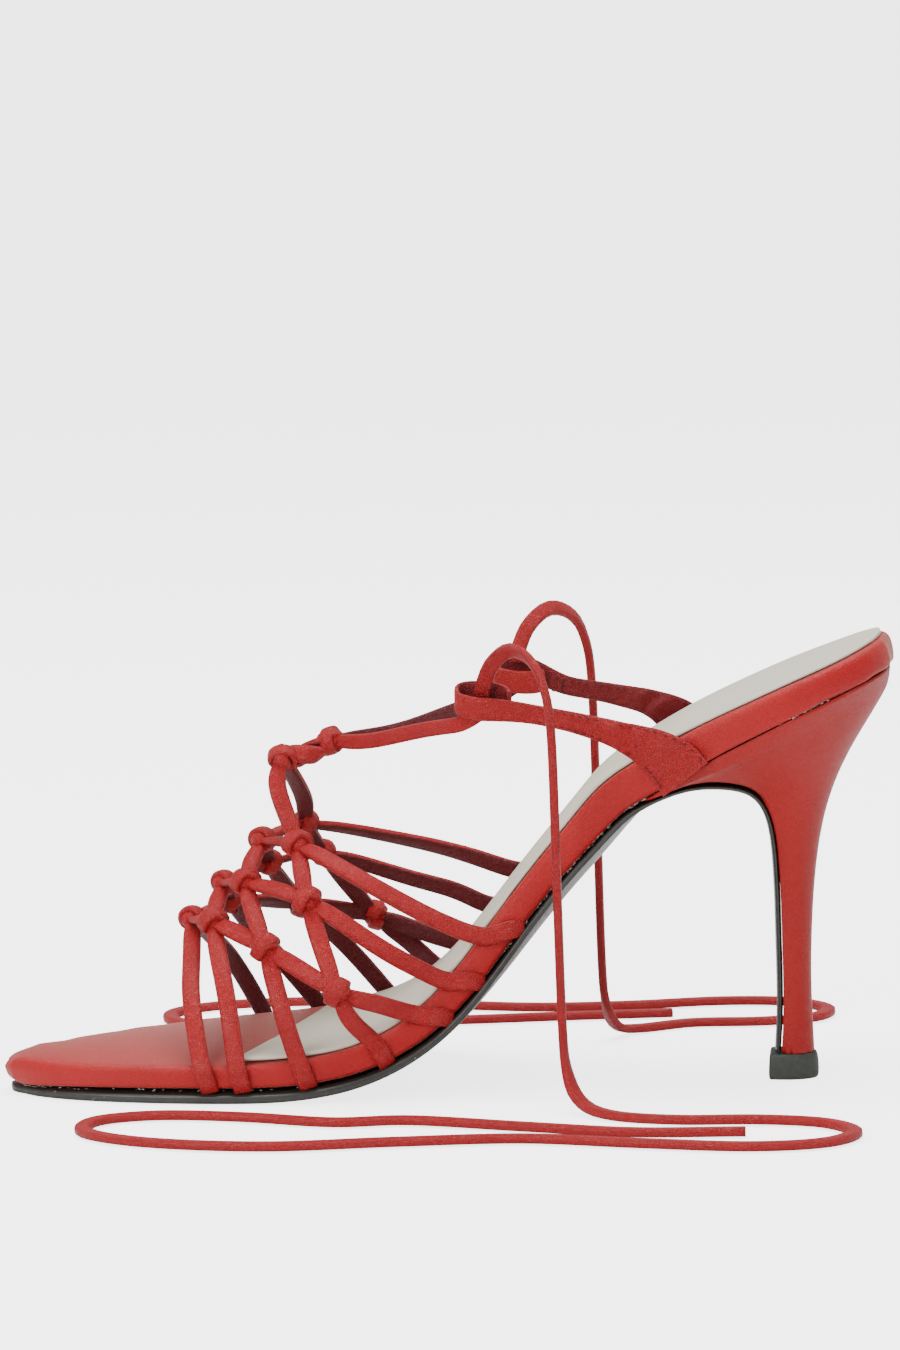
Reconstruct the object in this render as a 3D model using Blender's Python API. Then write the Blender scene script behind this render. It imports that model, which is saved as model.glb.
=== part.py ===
# Leg wrap sandal, right foot, high heel: a net of knotted straps on a leather wrapped footbed.
# Metres, +Z up. The toe points to -X, the inner (medial) side to -Y, the outer side to +Y.
# The origin is on the floor, under the ball of the foot.

import bmesh
import bpy
from math import cos, pi, sin, sqrt
from mathutils import Vector

# Driving sizes
LENGTH = 0.2206            # top face, tip of the toe to the back of the seat, measured along the floor
TOE_AHEAD = 0.0485         # the tip lies this far ahead of the origin
BALL_WIDTH = 0.076
SEAT_HEIGHT = 0.1124       # top of the footbed at its back end
BOARD = 0.0068             # footbed thickness at the toe
TREAD = 0.0032             # outsole thickness at the ball
SOCK = 0.0008
LIP = 0.0008               # rounding of the outsole's edge
CLEARANCE = 0.0003
RAND_BULGE = 0.0009        # how far the side of the footbed swells past its lower edge
TIP_HEIGHT = 0.0064        # black top piece under the heel
TIP_LENGTH = 0.0122
TIP_HALF_WIDTH = 0.57      # share of STEM_WIDTH
TIP_FACE = 0.92            # width of its flat front, share of its width
TIP_FRONT = 0.863          # front of the top piece, share of LENGTH
STEM_WIDTH = 0.0098
FLAP = 0.00125             # outsole where it runs down the breast of the heel
FLAP_CROWN = 0.15          # how much the flap's middle swells, share of FLAP
STRAP_WIDTH = 0.0046
STRAP_THICKNESS = 0.0021
STRAP_STAND_OFF = 0.0007   # between the side of the footbed and the straps' inner face
THROAT_STRAP = 0.86        # width of the throat straps, share of STRAP_WIDTH
THROAT_WRAP = (0.0056, 0.0050)  # height and thickness of the twist between the two throat knots
KNOT = 0.0082              # a knot of the net, across
INSTEP_HEIGHT = 0.0875     # throat knot above the floor
EAR_WIDTH = 0.0056         # stay strap at its loop
EAR_THICKNESS = 0.0016
LOOP_LENGTH = 0.0126
LOOP_WIDTH = 0.0060        # between the middles of the two leaves of the loop
LOOP_LEAN = 0.0034         # the far leaf of a loop stands this much higher than the near one
LOOP_TILT = 0.09           # rise of a loop towards the toe, per length
LOOP_RISE = 0.0006         # middle of a loop above the end of its stay strap
LOOP_OVERLAP = 0.0002      # and this much farther forward than half its length
LOOP_SQUARENESS = 0.7      # below 1 makes the loop's leaves run more parallel
SOCK_MARGIN = 0.0020       # red border left round the sock
KNOT_SEGMENTS = 8
KNOT_RINGS = 5
KNOT_PROUD = 0.0007        # knots lie this far outside the middle of the straps
KNOT_SHAPE = (1.0, 0.86, 0.66)  # a knot's length, breadth and height as shares of KNOT
NET_CORE = 0.35            # the net goes round a line at this share of the way up from the footbed
TIE_DIAMETER = 0.0034

RED = (0.42, 0.035, 0.04, 1.0)
DARK = (0.035, 0.038, 0.036, 1.0)
GREY = (0.55, 0.52, 0.43, 1.0)

MEDIAL = -1
LATERAL = 1

# Footbed sections from toe to heel. along: share of LENGTH. height: share of SEAT_HEIGHT, top face.
# medial, lateral: edges as shares of BALL_WIDTH. board: share of BOARD. tread, crown: shares of TREAD,
# the outsole's edge and how much its middle swells below the edge. ledge: share of RAND_BULGE, the
# outsole's edge past the footbed's side.
SECTION_COLUMNS = ("along", "height", "medial", "lateral", "board", "tread", "crown", "ledge")
SECTIONS = (
    (0.000, 0.077, -0.284, -0.213, 0.93, 0.62, 0.00, -1.2),
    (0.007, 0.079, -0.318, -0.174, 0.96, 0.68, 0.00, -1.0),
    (0.026, 0.084, -0.361, -0.113, 1.00, 0.75, 0.00, -0.8),
    (0.059, 0.087, -0.411, -0.007, 1.00, 0.88, 0.00, -0.5),
    (0.102, 0.090, -0.451, 0.118, 1.00, 1.00, 0.00, -0.2),
    (0.154, 0.091, -0.476, 0.257, 1.00, 1.03, 0.00, 0.2),
    (0.209, 0.091, -0.486, 0.382, 1.00, 1.03, 0.00, 0.8),
    (0.265, 0.091, -0.487, 0.474, 1.00, 1.03, 0.00, 0.9),
    (0.322, 0.094, -0.482, 0.517, 1.00, 1.00, 0.05, 0.9),
    (0.376, 0.108, -0.461, 0.513, 1.00, 0.98, 0.08, 0.9),
    (0.426, 0.139, -0.421, 0.471, 1.00, 0.90, 0.18, 0.9),
    (0.474, 0.198, -0.375, 0.408, 1.00, 0.80, 0.28, 0.9),
    (0.516, 0.286, -0.332, 0.350, 1.02, 0.68, 0.55, 0.9),
    (0.558, 0.395, -0.297, 0.305, 1.02, 0.62, 0.75, 0.9),
    (0.598, 0.497, -0.276, 0.279, 1.04, 0.60, 0.88, 0.7),
    (0.639, 0.594, -0.271, 0.271, 1.13, 0.60, 0.85, 0.3),
    (0.679, 0.687, -0.282, 0.282, 1.28, 0.60, 0.55, -0.2),
    (0.728, 0.751, -0.311, 0.311, 1.34, 0.50, 0.20, -0.8),
    (0.786, 0.815, -0.337, 0.337, 1.22, 0.45, 0.00, -0.8),
    (0.843, 0.868, -0.345, 0.345, 1.15, 0.45, 0.00, -0.8),
    (0.893, 0.912, -0.332, 0.332, 1.10, 0.45, 0.00, -0.8),
    (0.941, 0.951, -0.289, 0.289, 1.06, 0.45, 0.00, -0.8),
    (0.974, 0.980, -0.218, 0.218, 1.04, 0.45, 0.00, -0.8),
    (0.993, 0.996, -0.129, 0.129, 1.03, 0.45, 0.00, -0.8),
    (1.000, 1.000, -0.034, 0.034, 1.03, 0.45, 0.00, -0.8),
)
LAST_WAIST_ROW = 16        # past this row the outsole leaves the footbed and lines the heel's breast
HEEL_LIP_ROW = 16.45       # the heel's seat begins here

# The heel, from its lip down. front_x, back_x: shares of LENGTH. front_z, back_z: shares of SEAT_HEIGHT.
# half: share of STEM_WIDTH. face: width of the flat breast as a share of half.
HEEL_ROWS = (
    (0.7312, 0.650, 1.0018, 0.891, 2.40, 0.94),
    (0.7557, 0.670, 0.9932, 0.861, 2.22, 0.93),
    (0.7829, 0.681, 0.9814, 0.822, 2.00, 0.92),
    (0.8101, 0.678, 0.9674, 0.778, 1.76, 0.90),
    (0.8336, 0.669, 0.9533, 0.730, 1.48, 0.88),
    (0.8518, 0.649, 0.9402, 0.676, 1.20, 0.87),
    (0.8645, 0.610, 0.9297, 0.618, 0.98, 0.87),
    (0.8713, 0.556, 0.9220, 0.554, 0.82, 0.88),
    (0.8744, 0.485, 0.9166, 0.482, 0.69, 0.89),
    (0.8762, 0.400, 0.9130, 0.400, 0.60, 0.90),
    (0.8769, 0.320, 0.9112, 0.320, 0.53, 0.92),
    (0.8781, 0.231, 0.9102, 0.231, 0.50, 0.92),
    (0.8785, 0.142, 0.9116, 0.142, 0.50, 0.92),
    (0.8758, 0.000, 0.9139, 0.000, 0.54, 0.92),
)

# The top piece, from its top down. up: share of TIP_HEIGHT. grow: how much it is larger than its nominal size.
TIP_ROWS = (
    (1.00, -0.04),
    (0.85, 0.00),
    (0.10, 0.02),
    (0.00, -0.02),
)

# Places of the knots. along: share of LENGTH. across: share of BALL_WIDTH. up: share of INSTEP_HEIGHT.
KNOTS = (
    ("front", 0.204, 0.000, 0.457),
    ("middle", 0.241, 0.000, 0.561),
    ("rear", 0.286, 0.000, 0.687),
    ("medial_a", 0.235, -0.184, 0.478),
    ("medial_b", 0.300, -0.368, 0.432),
    ("medial_c", 0.384, -0.487, 0.323),
    ("medial_d", 0.272, -0.164, 0.590),
    ("medial_e", 0.347, -0.342, 0.563),
    ("medial_f", 0.332, -0.184, 0.702),
    ("lateral_a", 0.241, 0.184, 0.486),
    ("lateral_b", 0.315, 0.388, 0.447),
    ("lateral_c", 0.400, 0.500, 0.395),
    ("lateral_d", 0.288, 0.164, 0.598),
    ("lateral_e", 0.344, 0.353, 0.601),
    ("lateral_f", 0.330, 0.191, 0.712),
    ("throat_low", 0.312, -0.039, 0.934),
    ("throat_high", 0.365, 0.026, 0.974),
)

# The straps of one side of the net. Names are knots; a row of three numbers is a point of the air between
# them, in the shares of KNOTS; the last pair is where the strap crosses the top edge of the footbed and
# where it ends at the outsole, as rows of SECTIONS.
MEDIAL_STRAPS = (
    (("front", (0.210, -0.197, 0.373), (0.215, -0.355, 0.279)), (6.38, 6.55)),
    (("middle", "medial_a", (0.258, -0.421, 0.293)), (7.08, 7.20)),
    (("rear", "medial_d", "medial_b", (0.323, -0.474, 0.253)), (8.30, 8.45)),
    (("throat_low", (0.307, -0.105, 0.857), "medial_f", "medial_e",
      "medial_c", (0.400, -0.493, 0.240)), (9.88, 9.98)),
    (("front", "medial_a", "medial_b", "medial_c", (0.428, -0.467, 0.286)), (10.83, 11.30)),
    (("middle", "medial_d", "medial_e", (0.430, -0.395, 0.434), (0.480, -0.368, 0.360)), (11.69, 12.08)),
    (("rear", "medial_f", (0.401, -0.316, 0.629), (0.479, -0.342, 0.523)), (12.60, 13.13)),
)
LATERAL_STRAPS = (
    (("front", (0.214, 0.197, 0.389), (0.235, 0.368, 0.286)), (7.00, 7.18)),
    (("middle", "lateral_a", (0.279, 0.421, 0.309)), (8.15, 8.35)),
    (("rear", "lateral_d", "lateral_b", (0.363, 0.507, 0.309)), (9.70, 9.85)),
    (("throat_low", (0.331, 0.105, 0.800), "lateral_f", "lateral_e",
      "lateral_c", (0.437, 0.500, 0.320)), (10.96, 11.10)),
    (("front", "lateral_a", "lateral_b", "lateral_c", (0.451, 0.467, 0.354)), (11.65, 12.05)),
    (("middle", "lateral_d", "lateral_e", (0.442, 0.395, 0.523), (0.497, 0.355, 0.491)), (12.55, 13.00)),
    (("rear", "lateral_f", (0.447, 0.329, 0.642), (0.514, 0.321, 0.600)), (13.33, 13.80)),
)

# Stay straps, from the seat to the loop. up: share of SEAT_HEIGHT. width: share of EAR_WIDTH. The lateral
# one lies farther back and higher.
EAR_COLUMNS = ("along", "across", "up", "width")
EAR_ROWS = (
    (0.773, 0.353, 0.705, 2.50),
    (0.759, 0.354, 0.740, 2.35),
    (0.736, 0.353, 0.772, 1.90),
    (0.698, 0.334, 0.802, 1.25),
    (0.657, 0.313, 0.824, 0.97),
    (0.617, 0.295, 0.840, 0.87),
    (0.576, 0.282, 0.853, 0.87),
)
LATERAL_EAR_BACK = 0.029   # share of LENGTH
LATERAL_EAR_RISE = 0.011   # share of SEAT_HEIGHT

# The throat straps, from the throat knot into the loops: how far before, inward of and below the middle of
# the loop, as shares of LOOP_LENGTH.
THROAT_ROWS = (
    (2.44, 1.37, 0.88),
    (1.70, 0.92, 0.64),
    (0.85, 0.29, 0.40),
    (0.52, 0.04, 0.36),
    (0.24, 0.00, 0.22),
    (-0.06, 0.00, 0.00),
)

# Where the ties run: metres, chosen by hand, from the mouth of the loop down to the floor.
MEDIAL_TIE_ROUTE = (
    (0.0716, -0.0214, 0.0988), (0.0723, -0.0217, 0.1026), (0.0748, -0.0235, 0.1080),
    (0.0795, -0.0280, 0.1116), (0.0845, -0.0340, 0.1098), (0.0879, -0.0382, 0.1038),
    (0.0898, -0.0402, 0.0915), (0.0908, -0.0413, 0.0570),
    (0.0918, -0.0422, 0.0220), (0.0930, -0.0440, 0.0100), (0.0965, -0.0490, 0.0034),
    (0.1040, -0.0555, 0.0014), (0.1200, -0.0610, 0.0014), (0.1400, -0.0605, 0.0014),
    (0.1560, -0.0645, 0.0014), (0.1630, -0.0755, 0.0014), (0.1560, -0.0870, 0.0014),
    (0.1380, -0.0915, 0.0014), (0.1120, -0.0880, 0.0014), (0.0840, -0.0830, 0.0014),
    (0.0540, -0.0870, 0.0014), (0.0240, -0.0925, 0.0014), (-0.0040, -0.0885, 0.0014),
    (-0.0210, -0.0775, 0.0014), (-0.0205, -0.0635, 0.0014), (-0.0060, -0.0565, 0.0014),
    (0.0150, -0.0585, 0.0014), (0.0370, -0.0645, 0.0014), (0.0560, -0.0620, 0.0014),
    (0.0830, -0.0690, 0.0014), (0.1100, -0.0755, 0.0014), (0.1370, -0.0745, 0.0014),
)
LATERAL_TIE_ROUTE = (
    (0.0780, 0.0214, 0.1026), (0.0787, 0.0217, 0.1064), (0.0812, 0.0235, 0.1118), (0.0859, 0.0280, 0.1154),
    (0.0909, 0.0340, 0.1136), (0.0943, 0.0382, 0.1076), (0.0962, 0.0402, 0.0950), (0.0972, 0.0413, 0.0580),
    (0.0980, 0.0422, 0.0220), (0.0990, 0.0440, 0.0100), (0.1015, 0.0490, 0.0034),
    (0.1070, 0.0560, 0.0014), (0.1210, 0.0640, 0.0014), (0.1390, 0.0660, 0.0014), (0.1530, 0.0720, 0.0014),
    (0.1560, 0.0840, 0.0014), (0.1460, 0.0940, 0.0014), (0.1270, 0.0950, 0.0014), (0.1040, 0.0890, 0.0014),
    (0.0780, 0.0860, 0.0014), (0.0500, 0.0905, 0.0014), (0.0220, 0.0945, 0.0014), (-0.0040, 0.0895, 0.0014),
    (-0.0175, 0.0780, 0.0014), (-0.0155, 0.0645, 0.0014), (-0.0010, 0.0575, 0.0014),
    (0.0190, 0.0610, 0.0014), (0.0390, 0.0680, 0.0014), (0.0570, 0.0675, 0.0014),
    (0.0860, 0.0730, 0.0014), (0.1150, 0.0780, 0.0014),
)


def clear_scene():
    for thing in list(bpy.data.objects):
        bpy.data.objects.remove(thing, do_unlink=True)


def make_collection(name):
    collection = bpy.data.collections.new(name)
    bpy.context.scene.collection.children.link(collection)
    return collection


def make_material(name, colour, roughness):
    material = bpy.data.materials.new(name)
    material.use_nodes = True
    shader = material.node_tree.nodes["Principled BSDF"]
    shader.inputs["Base Color"].default_value = colour
    shader.inputs["Roughness"].default_value = roughness
    shader.inputs["Metallic"].default_value = 0.0
    return material


def curve_value(values, t):
    # A smooth curve through equally spaced values, read at t, which counts values.
    last = len(values) - 1
    i = min(max(int(t), 0), last - 1)
    f = t - i
    before = values[max(i - 1, 0)]
    start = values[i]
    end = values[i + 1]
    after = values[min(i + 2, last)]
    slope_in = (end - before) * (0.5 if i > 0 else 1.0)
    slope_out = (after - start) * (0.5 if i + 2 <= last else 1.0)
    square = f * f
    cube = square * f
    return (start * (2 * cube - 3 * square + 1) + slope_in * (cube - 2 * square + f)
            + end * (3 * square - 2 * cube) + slope_out * (cube - square))


def column(rows, columns, name):
    k = columns.index(name)
    return [row[k] for row in rows]


def section(name, t):
    return curve_value(column(SECTIONS, SECTION_COLUMNS, name), t)


def top_point(t):
    # The top face of the footbed in the middle plane, as x and z.
    return Vector((section("along", t) * LENGTH - TOE_AHEAD, 0.0, section("height", t) * SEAT_HEIGHT))


def top_frame(t):
    # Point, direction along the sole and upward normal of the footbed's top line.
    step = 0.05
    ahead = top_point(min(t + step, len(SECTIONS) - 1))
    behind = top_point(max(t - step, 0))
    along = (ahead - behind).normalized()
    normal = Vector((-along.z, 0.0, along.x))
    return top_point(t), along, normal


def edge(t, side):
    name = "medial" if side == MEDIAL else "lateral"
    return section(name, t) * BALL_WIDTH


def board(t):
    return section("board", t) * BOARD


def edge_outward(t, side):
    # Away from the sole across its outline, in the plane of its top face.
    step = 0.2
    ahead = min(t + step, len(SECTIONS) - 1)
    behind = max(t - step, 0)
    run = (top_point(ahead) - top_point(behind)).length
    spread = side * (edge(ahead, side) - edge(behind, side))
    point, along, normal = top_frame(t)
    return (Vector((0, side * run, 0)) - along * spread).normalized()


def edge_point(t, side, inset):
    # A point of the top face, this far inside its outline.
    return top_point(t) + Vector((0, edge(t, side), 0)) - edge_outward(t, side) * inset


def add_mesh(name, collection, material, vertices, faces, smooth_angle=0.7):
    mesh = bpy.data.meshes.new(name)
    mesh.from_pydata([tuple(v) for v in vertices], [], faces)
    body = bpy.data.objects.new(name, mesh)
    collection.objects.link(body)
    mesh.materials.append(material)
    work = bmesh.new()
    work.from_mesh(mesh)
    bmesh.ops.recalc_face_normals(work, faces=work.faces)
    work.to_mesh(mesh)
    work.free()
    mesh.shade_smooth()
    mesh.set_sharp_from_angle(angle=smooth_angle)
    return body


def loft(rings, closed=False):
    # Faces between rings of equal count, with flat caps at both ends unless the loft closes on itself.
    count = len(rings[0])
    vertices = [point for ring in rings for point in ring]
    faces = []
    spans = len(rings) if closed else len(rings) - 1
    for r in range(spans):
        here = r * count
        there = ((r + 1) % len(rings)) * count
        for k in range(count):
            nxt = (k + 1) % count
            faces.append((here + k, here + nxt, there + nxt, there + k))
    if not closed:
        faces.append(tuple(reversed(range(count))))
        faces.append(tuple((len(rings) - 1) * count + k for k in range(count)))
    return vertices, faces


def side_profile():
    # Half of a footbed section: how far in from the edge, as a share of the bulge, and depth as a share
    # of the board, from the lower edge to the top face.
    return ((1.0, 1.0), (0.35, 0.80), (0.0, 0.45), (0.2, 0.18), (0.9, 0.035), (2.0, 0.0))


def footbed_ring(t):
    normal = top_frame(t)[2]
    ring = []
    for side in (MEDIAL, LATERAL):
        points = []
        for inward, depth in side_profile():
            points.append(edge_point(t, side, inward * RAND_BULGE) - normal * depth * board(t))
        ring += points if side == MEDIAL else list(reversed(points))
    return ring


def make_footbed(collection, material):
    stations = 2 * (len(SECTIONS) - 1)
    rings = [footbed_ring(k / 2) for k in range(stations + 1)]
    return add_mesh("footbed", collection, material, *loft(rings), smooth_angle=0.6)


def make_insole(collection, material):
    # The sock: its front edge runs obliquely, and from the ball on it follows the footbed's own sections.
    front_row = 7.05
    slant = 1.50
    square_row = 9
    last_row = len(SECTIONS) - 1
    shares = (0.0, 0.25, 0.5, 0.75, 1.0)
    stations = [[front_row + slant * share for share in shares]]
    stations.append([(row + square_row) / 2 for row in stations[0]])
    stations += [[k / 2] * len(shares) for k in range(2 * square_row, 2 * last_row + 1)]
    rings = []
    for rows in stations:
        lower = []
        upper = []
        for share, t in zip(shares, rows):
            normal = top_frame(t)[2]
            spot = edge_point(t, MEDIAL, SOCK_MARGIN).lerp(edge_point(t, LATERAL, SOCK_MARGIN), share)
            lower.append(spot + normal * CLEARANCE)
            upper.append(spot + normal * (CLEARANCE + SOCK))
        rings.append(lower + list(reversed(upper)))
    return add_mesh("insole", collection, material, *loft(rings))


def breast_path():
    # The line that the flap follows down the front of the heel.
    points = []
    for row in HEEL_ROWS[:-1]:
        x = row[0] * LENGTH - TOE_AHEAD
        points.append(Vector((x, 0.0, row[1] * SEAT_HEIGHT)))
    end_x = HEEL_ROWS[-1][0] * LENGTH - TOE_AHEAD
    points.append(Vector((end_x, 0.0, TIP_HEIGHT + 2.5 * CLEARANCE)))
    return points


def outsole_ring(point, normal, medial, lateral, thickness, crown):
    # Top face flat, underside crowned, edges rounded under. The sole never goes below the floor.
    width = lateral - medial
    lip = min(LIP, width / 8)
    ring = []
    for y, depth in ((medial + lip, 0.0), (medial, 0.35), (medial + lip * 0.4, 0.85), (medial + 2.2 * lip, 1.0)):
        ring.append((y, depth * thickness))
    for share in (0.25, 0.5, 0.75):
        bow = sin(pi * share)
        ring.append((medial + width * share, thickness + crown * bow))
    for y, depth in ((lateral - 2.2 * lip, 1.0), (lateral - lip * 0.4, 0.85), (lateral, 0.35), (lateral - lip, 0.0)):
        ring.append((y, depth * thickness))
    placed = []
    for y, depth in ring:
        spot = point + Vector((0, y, 0)) - normal * depth
        spot.z = max(spot.z, 0.0)
        placed.append(spot)
    return placed


def make_outsole(collection, material):
    rings = []
    for k in range(2 * LAST_WAIST_ROW + 1):
        t = k / 2
        point, along, normal = top_frame(t)
        start = point - normal * (board(t) + CLEARANCE)
        ledge = section("ledge", t) * RAND_BULGE
        medial = edge(t, MEDIAL) - ledge
        lateral = edge(t, LATERAL) + ledge
        rings.append(outsole_ring(start, normal, medial, lateral, section("tread", t) * TREAD,
                                  section("crown", t) * TREAD))
    path = breast_path()
    for k, spot in enumerate(path):
        ahead = path[min(k + 1, len(path) - 1)]
        behind = path[k - 1] if k > 0 else top_point(LAST_WAIST_ROW)
        along = (ahead - behind).normalized()
        normal = Vector((-along.z, 0.0, along.x))
        row = HEEL_ROWS[k]
        half = row[4] * row[5] * STEM_WIDTH
        rings.append(outsole_ring(spot, normal, -half, half, FLAP, FLAP_CROWN * FLAP))
    return add_mesh("outsole", collection, material, *loft(rings), smooth_angle=0.8)


def heel_shares():
    # Stations round a heel section, from the breast to the back.
    return (0.0, 0.08, 0.18, 0.30, 0.43, 0.57, 0.70, 0.81, 0.90, 0.96, 0.995)


def heel_outline(share, face):
    # Half width of a heel section as a share of its greatest: flat at the breast, round at the back.
    widest = 0.35
    if share < widest:
        return face + (1 - face) * sin(pi / 2 * share / widest)
    return sqrt(max(1 - ((share - widest) / (1 - widest)) ** 2, 0.0))


def heel_seat_ring():
    # The top of the heel lies under the footbed, from its lip to the back.
    last_row = len(SECTIONS) - 1
    lip_x = top_point(HEEL_LIP_ROW).x
    back_x = top_point(last_row).x
    sides = {MEDIAL: [], LATERAL: []}
    for share in heel_shares():
        x = lip_x + (back_x - lip_x) * share
        t = HEEL_LIP_ROW
        while t < last_row and top_point(t).x < x:
            t += 0.02
        t = min(t, last_row)
        point, along, normal = top_frame(t)
        base = point - normal * (board(t) + CLEARANCE)
        for side in (MEDIAL, LATERAL):
            rim = edge_point(t, side, RAND_BULGE) - point
            sides[side].append(base + rim)
    return sides[MEDIAL] + list(reversed(sides[LATERAL]))


def make_heel(collection, material):
    rings = [heel_seat_ring()]
    path = breast_path()
    for k, row in enumerate(HEEL_ROWS):
        front = Vector((row[0] * LENGTH - TOE_AHEAD, 0.0, row[1] * SEAT_HEIGHT))
        back = Vector((row[2] * LENGTH - TOE_AHEAD, 0.0, row[3] * SEAT_HEIGHT))
        if k == len(HEEL_ROWS) - 1:
            front.z = TIP_HEIGHT + CLEARANCE
            back.z = TIP_HEIGHT + CLEARANCE
        ahead = path[min(k + 1, len(path) - 1)]
        behind = path[max(k - 1, 0)]
        along = (ahead - behind).normalized()
        front = front + Vector((-along.z, 0.0, along.x)) * CLEARANCE
        if k == len(HEEL_ROWS) - 1:
            front.z = TIP_HEIGHT + CLEARANCE
        half = row[4] * STEM_WIDTH
        medial = []
        lateral = []
        for share in heel_shares():
            spot = front.lerp(back, share)
            y = max(heel_outline(share, row[5]) * half, CLEARANCE)
            medial.append(spot + Vector((0, -y, 0)))
            lateral.append(spot + Vector((0, y, 0)))
        rings.append(medial + list(reversed(lateral)))
    return add_mesh("heel", collection, material, *loft(rings), smooth_angle=0.9)


def make_heel_tip(collection, material):
    # The top piece: a D shaped block a little wider at the floor.
    front_x = TIP_FRONT * LENGTH - TOE_AHEAD
    rings = []
    for up, grow in TIP_ROWS:
        front = Vector((front_x - grow * TIP_LENGTH, 0.0, up * TIP_HEIGHT))
        back = Vector((front_x + TIP_LENGTH * (1 + grow), 0.0, up * TIP_HEIGHT))
        half = TIP_HALF_WIDTH * STEM_WIDTH * (1 + grow)
        medial = []
        lateral = []
        for share in heel_shares():
            spot = front.lerp(back, share)
            y = max(heel_outline(share, TIP_FACE) * half, CLEARANCE)
            medial.append(spot + Vector((0, -y, 0)))
            lateral.append(spot + Vector((0, y, 0)))
        rings.append(medial + list(reversed(lateral)))
    return add_mesh("heel_tip", collection, material, *loft(rings))


def net_point(along, across, up):
    return Vector((along * LENGTH - TOE_AHEAD, across * BALL_WIDTH, up * INSTEP_HEIGHT))


def knot_points():
    return {name: net_point(along, across, up) for name, along, across, up in KNOTS}


def row_at(x):
    # The row of SECTIONS whose top line is above x.
    t = 0.0
    while t < len(SECTIONS) - 1 and top_point(t).x < x:
        t += 0.05
    return t


def outward(spot):
    # Away from the middle of the foot that the net goes round.
    floor = top_point(row_at(spot.x)).z
    lowest = 0.02 * INSTEP_HEIGHT
    core = floor + NET_CORE * max(INSTEP_HEIGHT * 0.55 - floor, 2 * lowest)
    way = Vector((0.0, spot.y, max(spot.z - core, lowest)))
    return way.normalized()


def rand_point(t, side, depth, offset):
    # A point beside the footbed: depth is a share of the board, offset is how far it stands off.
    profile = side_profile()
    inward = profile[-1][0]
    for k in range(len(profile) - 1):
        low, high = profile[k], profile[k + 1]
        if high[1] <= depth <= low[1]:
            f = (low[1] - depth) / (low[1] - high[1])
            inward = low[0] + (high[0] - low[0]) * f
    return edge_point(t, side, inward * RAND_BULGE - offset) - top_frame(t)[2] * depth * board(t)


def smooth_path(points, steps):
    path = []
    last = len(points) - 1
    axes = [[p[k] for p in points] for k in range(3)]
    for n in range(last * steps + 1):
        t = n / steps
        path.append(Vector([curve_value(axes[k], t) for k in range(3)]))
    return path


def strap_ring(spot, along, face, width, thickness):
    across = along.cross(face).normalized()
    normal = across.cross(along).normalized()
    shoulder = 1 - 0.45 * thickness / width
    ring = []
    for a, b in ((-1, 0), (-shoulder, -1), (shoulder, -1), (1, 0), (shoulder, 1), (-shoulder, 1)):
        ring.append(spot + across * a * width / 2 + normal * b * thickness / 2)
    return ring


def sweep(path, faces_out, widths, thickness, closed=False):
    rings = []
    count = len(path)
    for k, spot in enumerate(path):
        if closed:
            along = (path[(k + 1) % count] - path[k - 1]).normalized()
        else:
            along = (path[min(k + 1, count - 1)] - path[max(k - 1, 0)]).normalized()
        rings.append(strap_ring(spot, along, faces_out[k], widths[k], thickness))
    return loft(rings, closed)


def make_strap(name, collection, material, names, ends, side, knots, thickness):
    points = []
    facing = []
    for item in names:
        spot = knots[item] if isinstance(item, str) else net_point(*item)
        points.append(spot)
        facing.append(outward(spot))
    offset = STRAP_THICKNESS / 2 + STRAP_STAND_OFF
    top_row, end_row = ends
    for depth, share in ((-0.10, 0.0), (0.30, 0.35), (0.65, 0.70), (0.95, 1.0)):
        t = top_row + (end_row - top_row) * share
        stand_off = offset + (0.0004 if depth < 0 else 0.0)
        points.append(rand_point(t, side, depth, stand_off) if depth >= 0
                      else rand_point(t, side, 0.18, stand_off) + top_frame(t)[2] * 0.28 * board(t))
        facing.append(edge_outward(t, side))
    steps = 2
    path = smooth_path(points, steps)
    normals = smooth_path(facing, steps)
    vertices, faces = sweep(path, normals, [STRAP_WIDTH] * len(path), thickness)
    # The end is cut parallel to the outsole, which it stands on.
    foot, along, normal = top_frame(end_row)
    depth = board(end_row)
    for vertex in vertices[-6:]:
        vertex -= normal * ((vertex - foot).dot(normal) + depth)
    return add_mesh(name, collection, material, vertices, faces)


def make_knot(name, collection, material, spot, way, size):
    # A rounded lump where two straps are knotted, flattened towards the foot.
    mesh = bpy.data.meshes.new(name)
    work = bmesh.new()
    bmesh.ops.create_uvsphere(work, u_segments=KNOT_SEGMENTS, v_segments=KNOT_RINGS, radius=size / 2)
    bmesh.ops.scale(work, vec=KNOT_SHAPE, verts=work.verts)
    turn = way.to_track_quat("Z", "Y").to_matrix()
    bmesh.ops.rotate(work, cent=(0, 0, 0), matrix=turn, verts=work.verts)
    bmesh.ops.translate(work, vec=spot, verts=work.verts)
    work.to_mesh(mesh)
    work.free()
    body = bpy.data.objects.new(name, mesh)
    collection.objects.link(body)
    mesh.materials.append(material)
    return body


def unite(name, pieces, collection):
    # Boolean union of the pieces, applied, so that what crosses is one solid.
    base = pieces[0]
    base.name = name
    for piece in pieces[1:]:
        join = base.modifiers.new("join", "BOOLEAN")
        join.operation = "UNION"
        join.solver = "MANIFOLD"
        join.object = piece
        depsgraph = bpy.context.evaluated_depsgraph_get()
        mesh = bpy.data.meshes.new_from_object(base.evaluated_get(depsgraph))
        base.modifiers.clear()
        old = base.data
        base.data = mesh
        bpy.data.meshes.remove(old)
        bpy.data.objects.remove(piece, do_unlink=True)
    base.data.name = name
    return base


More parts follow.
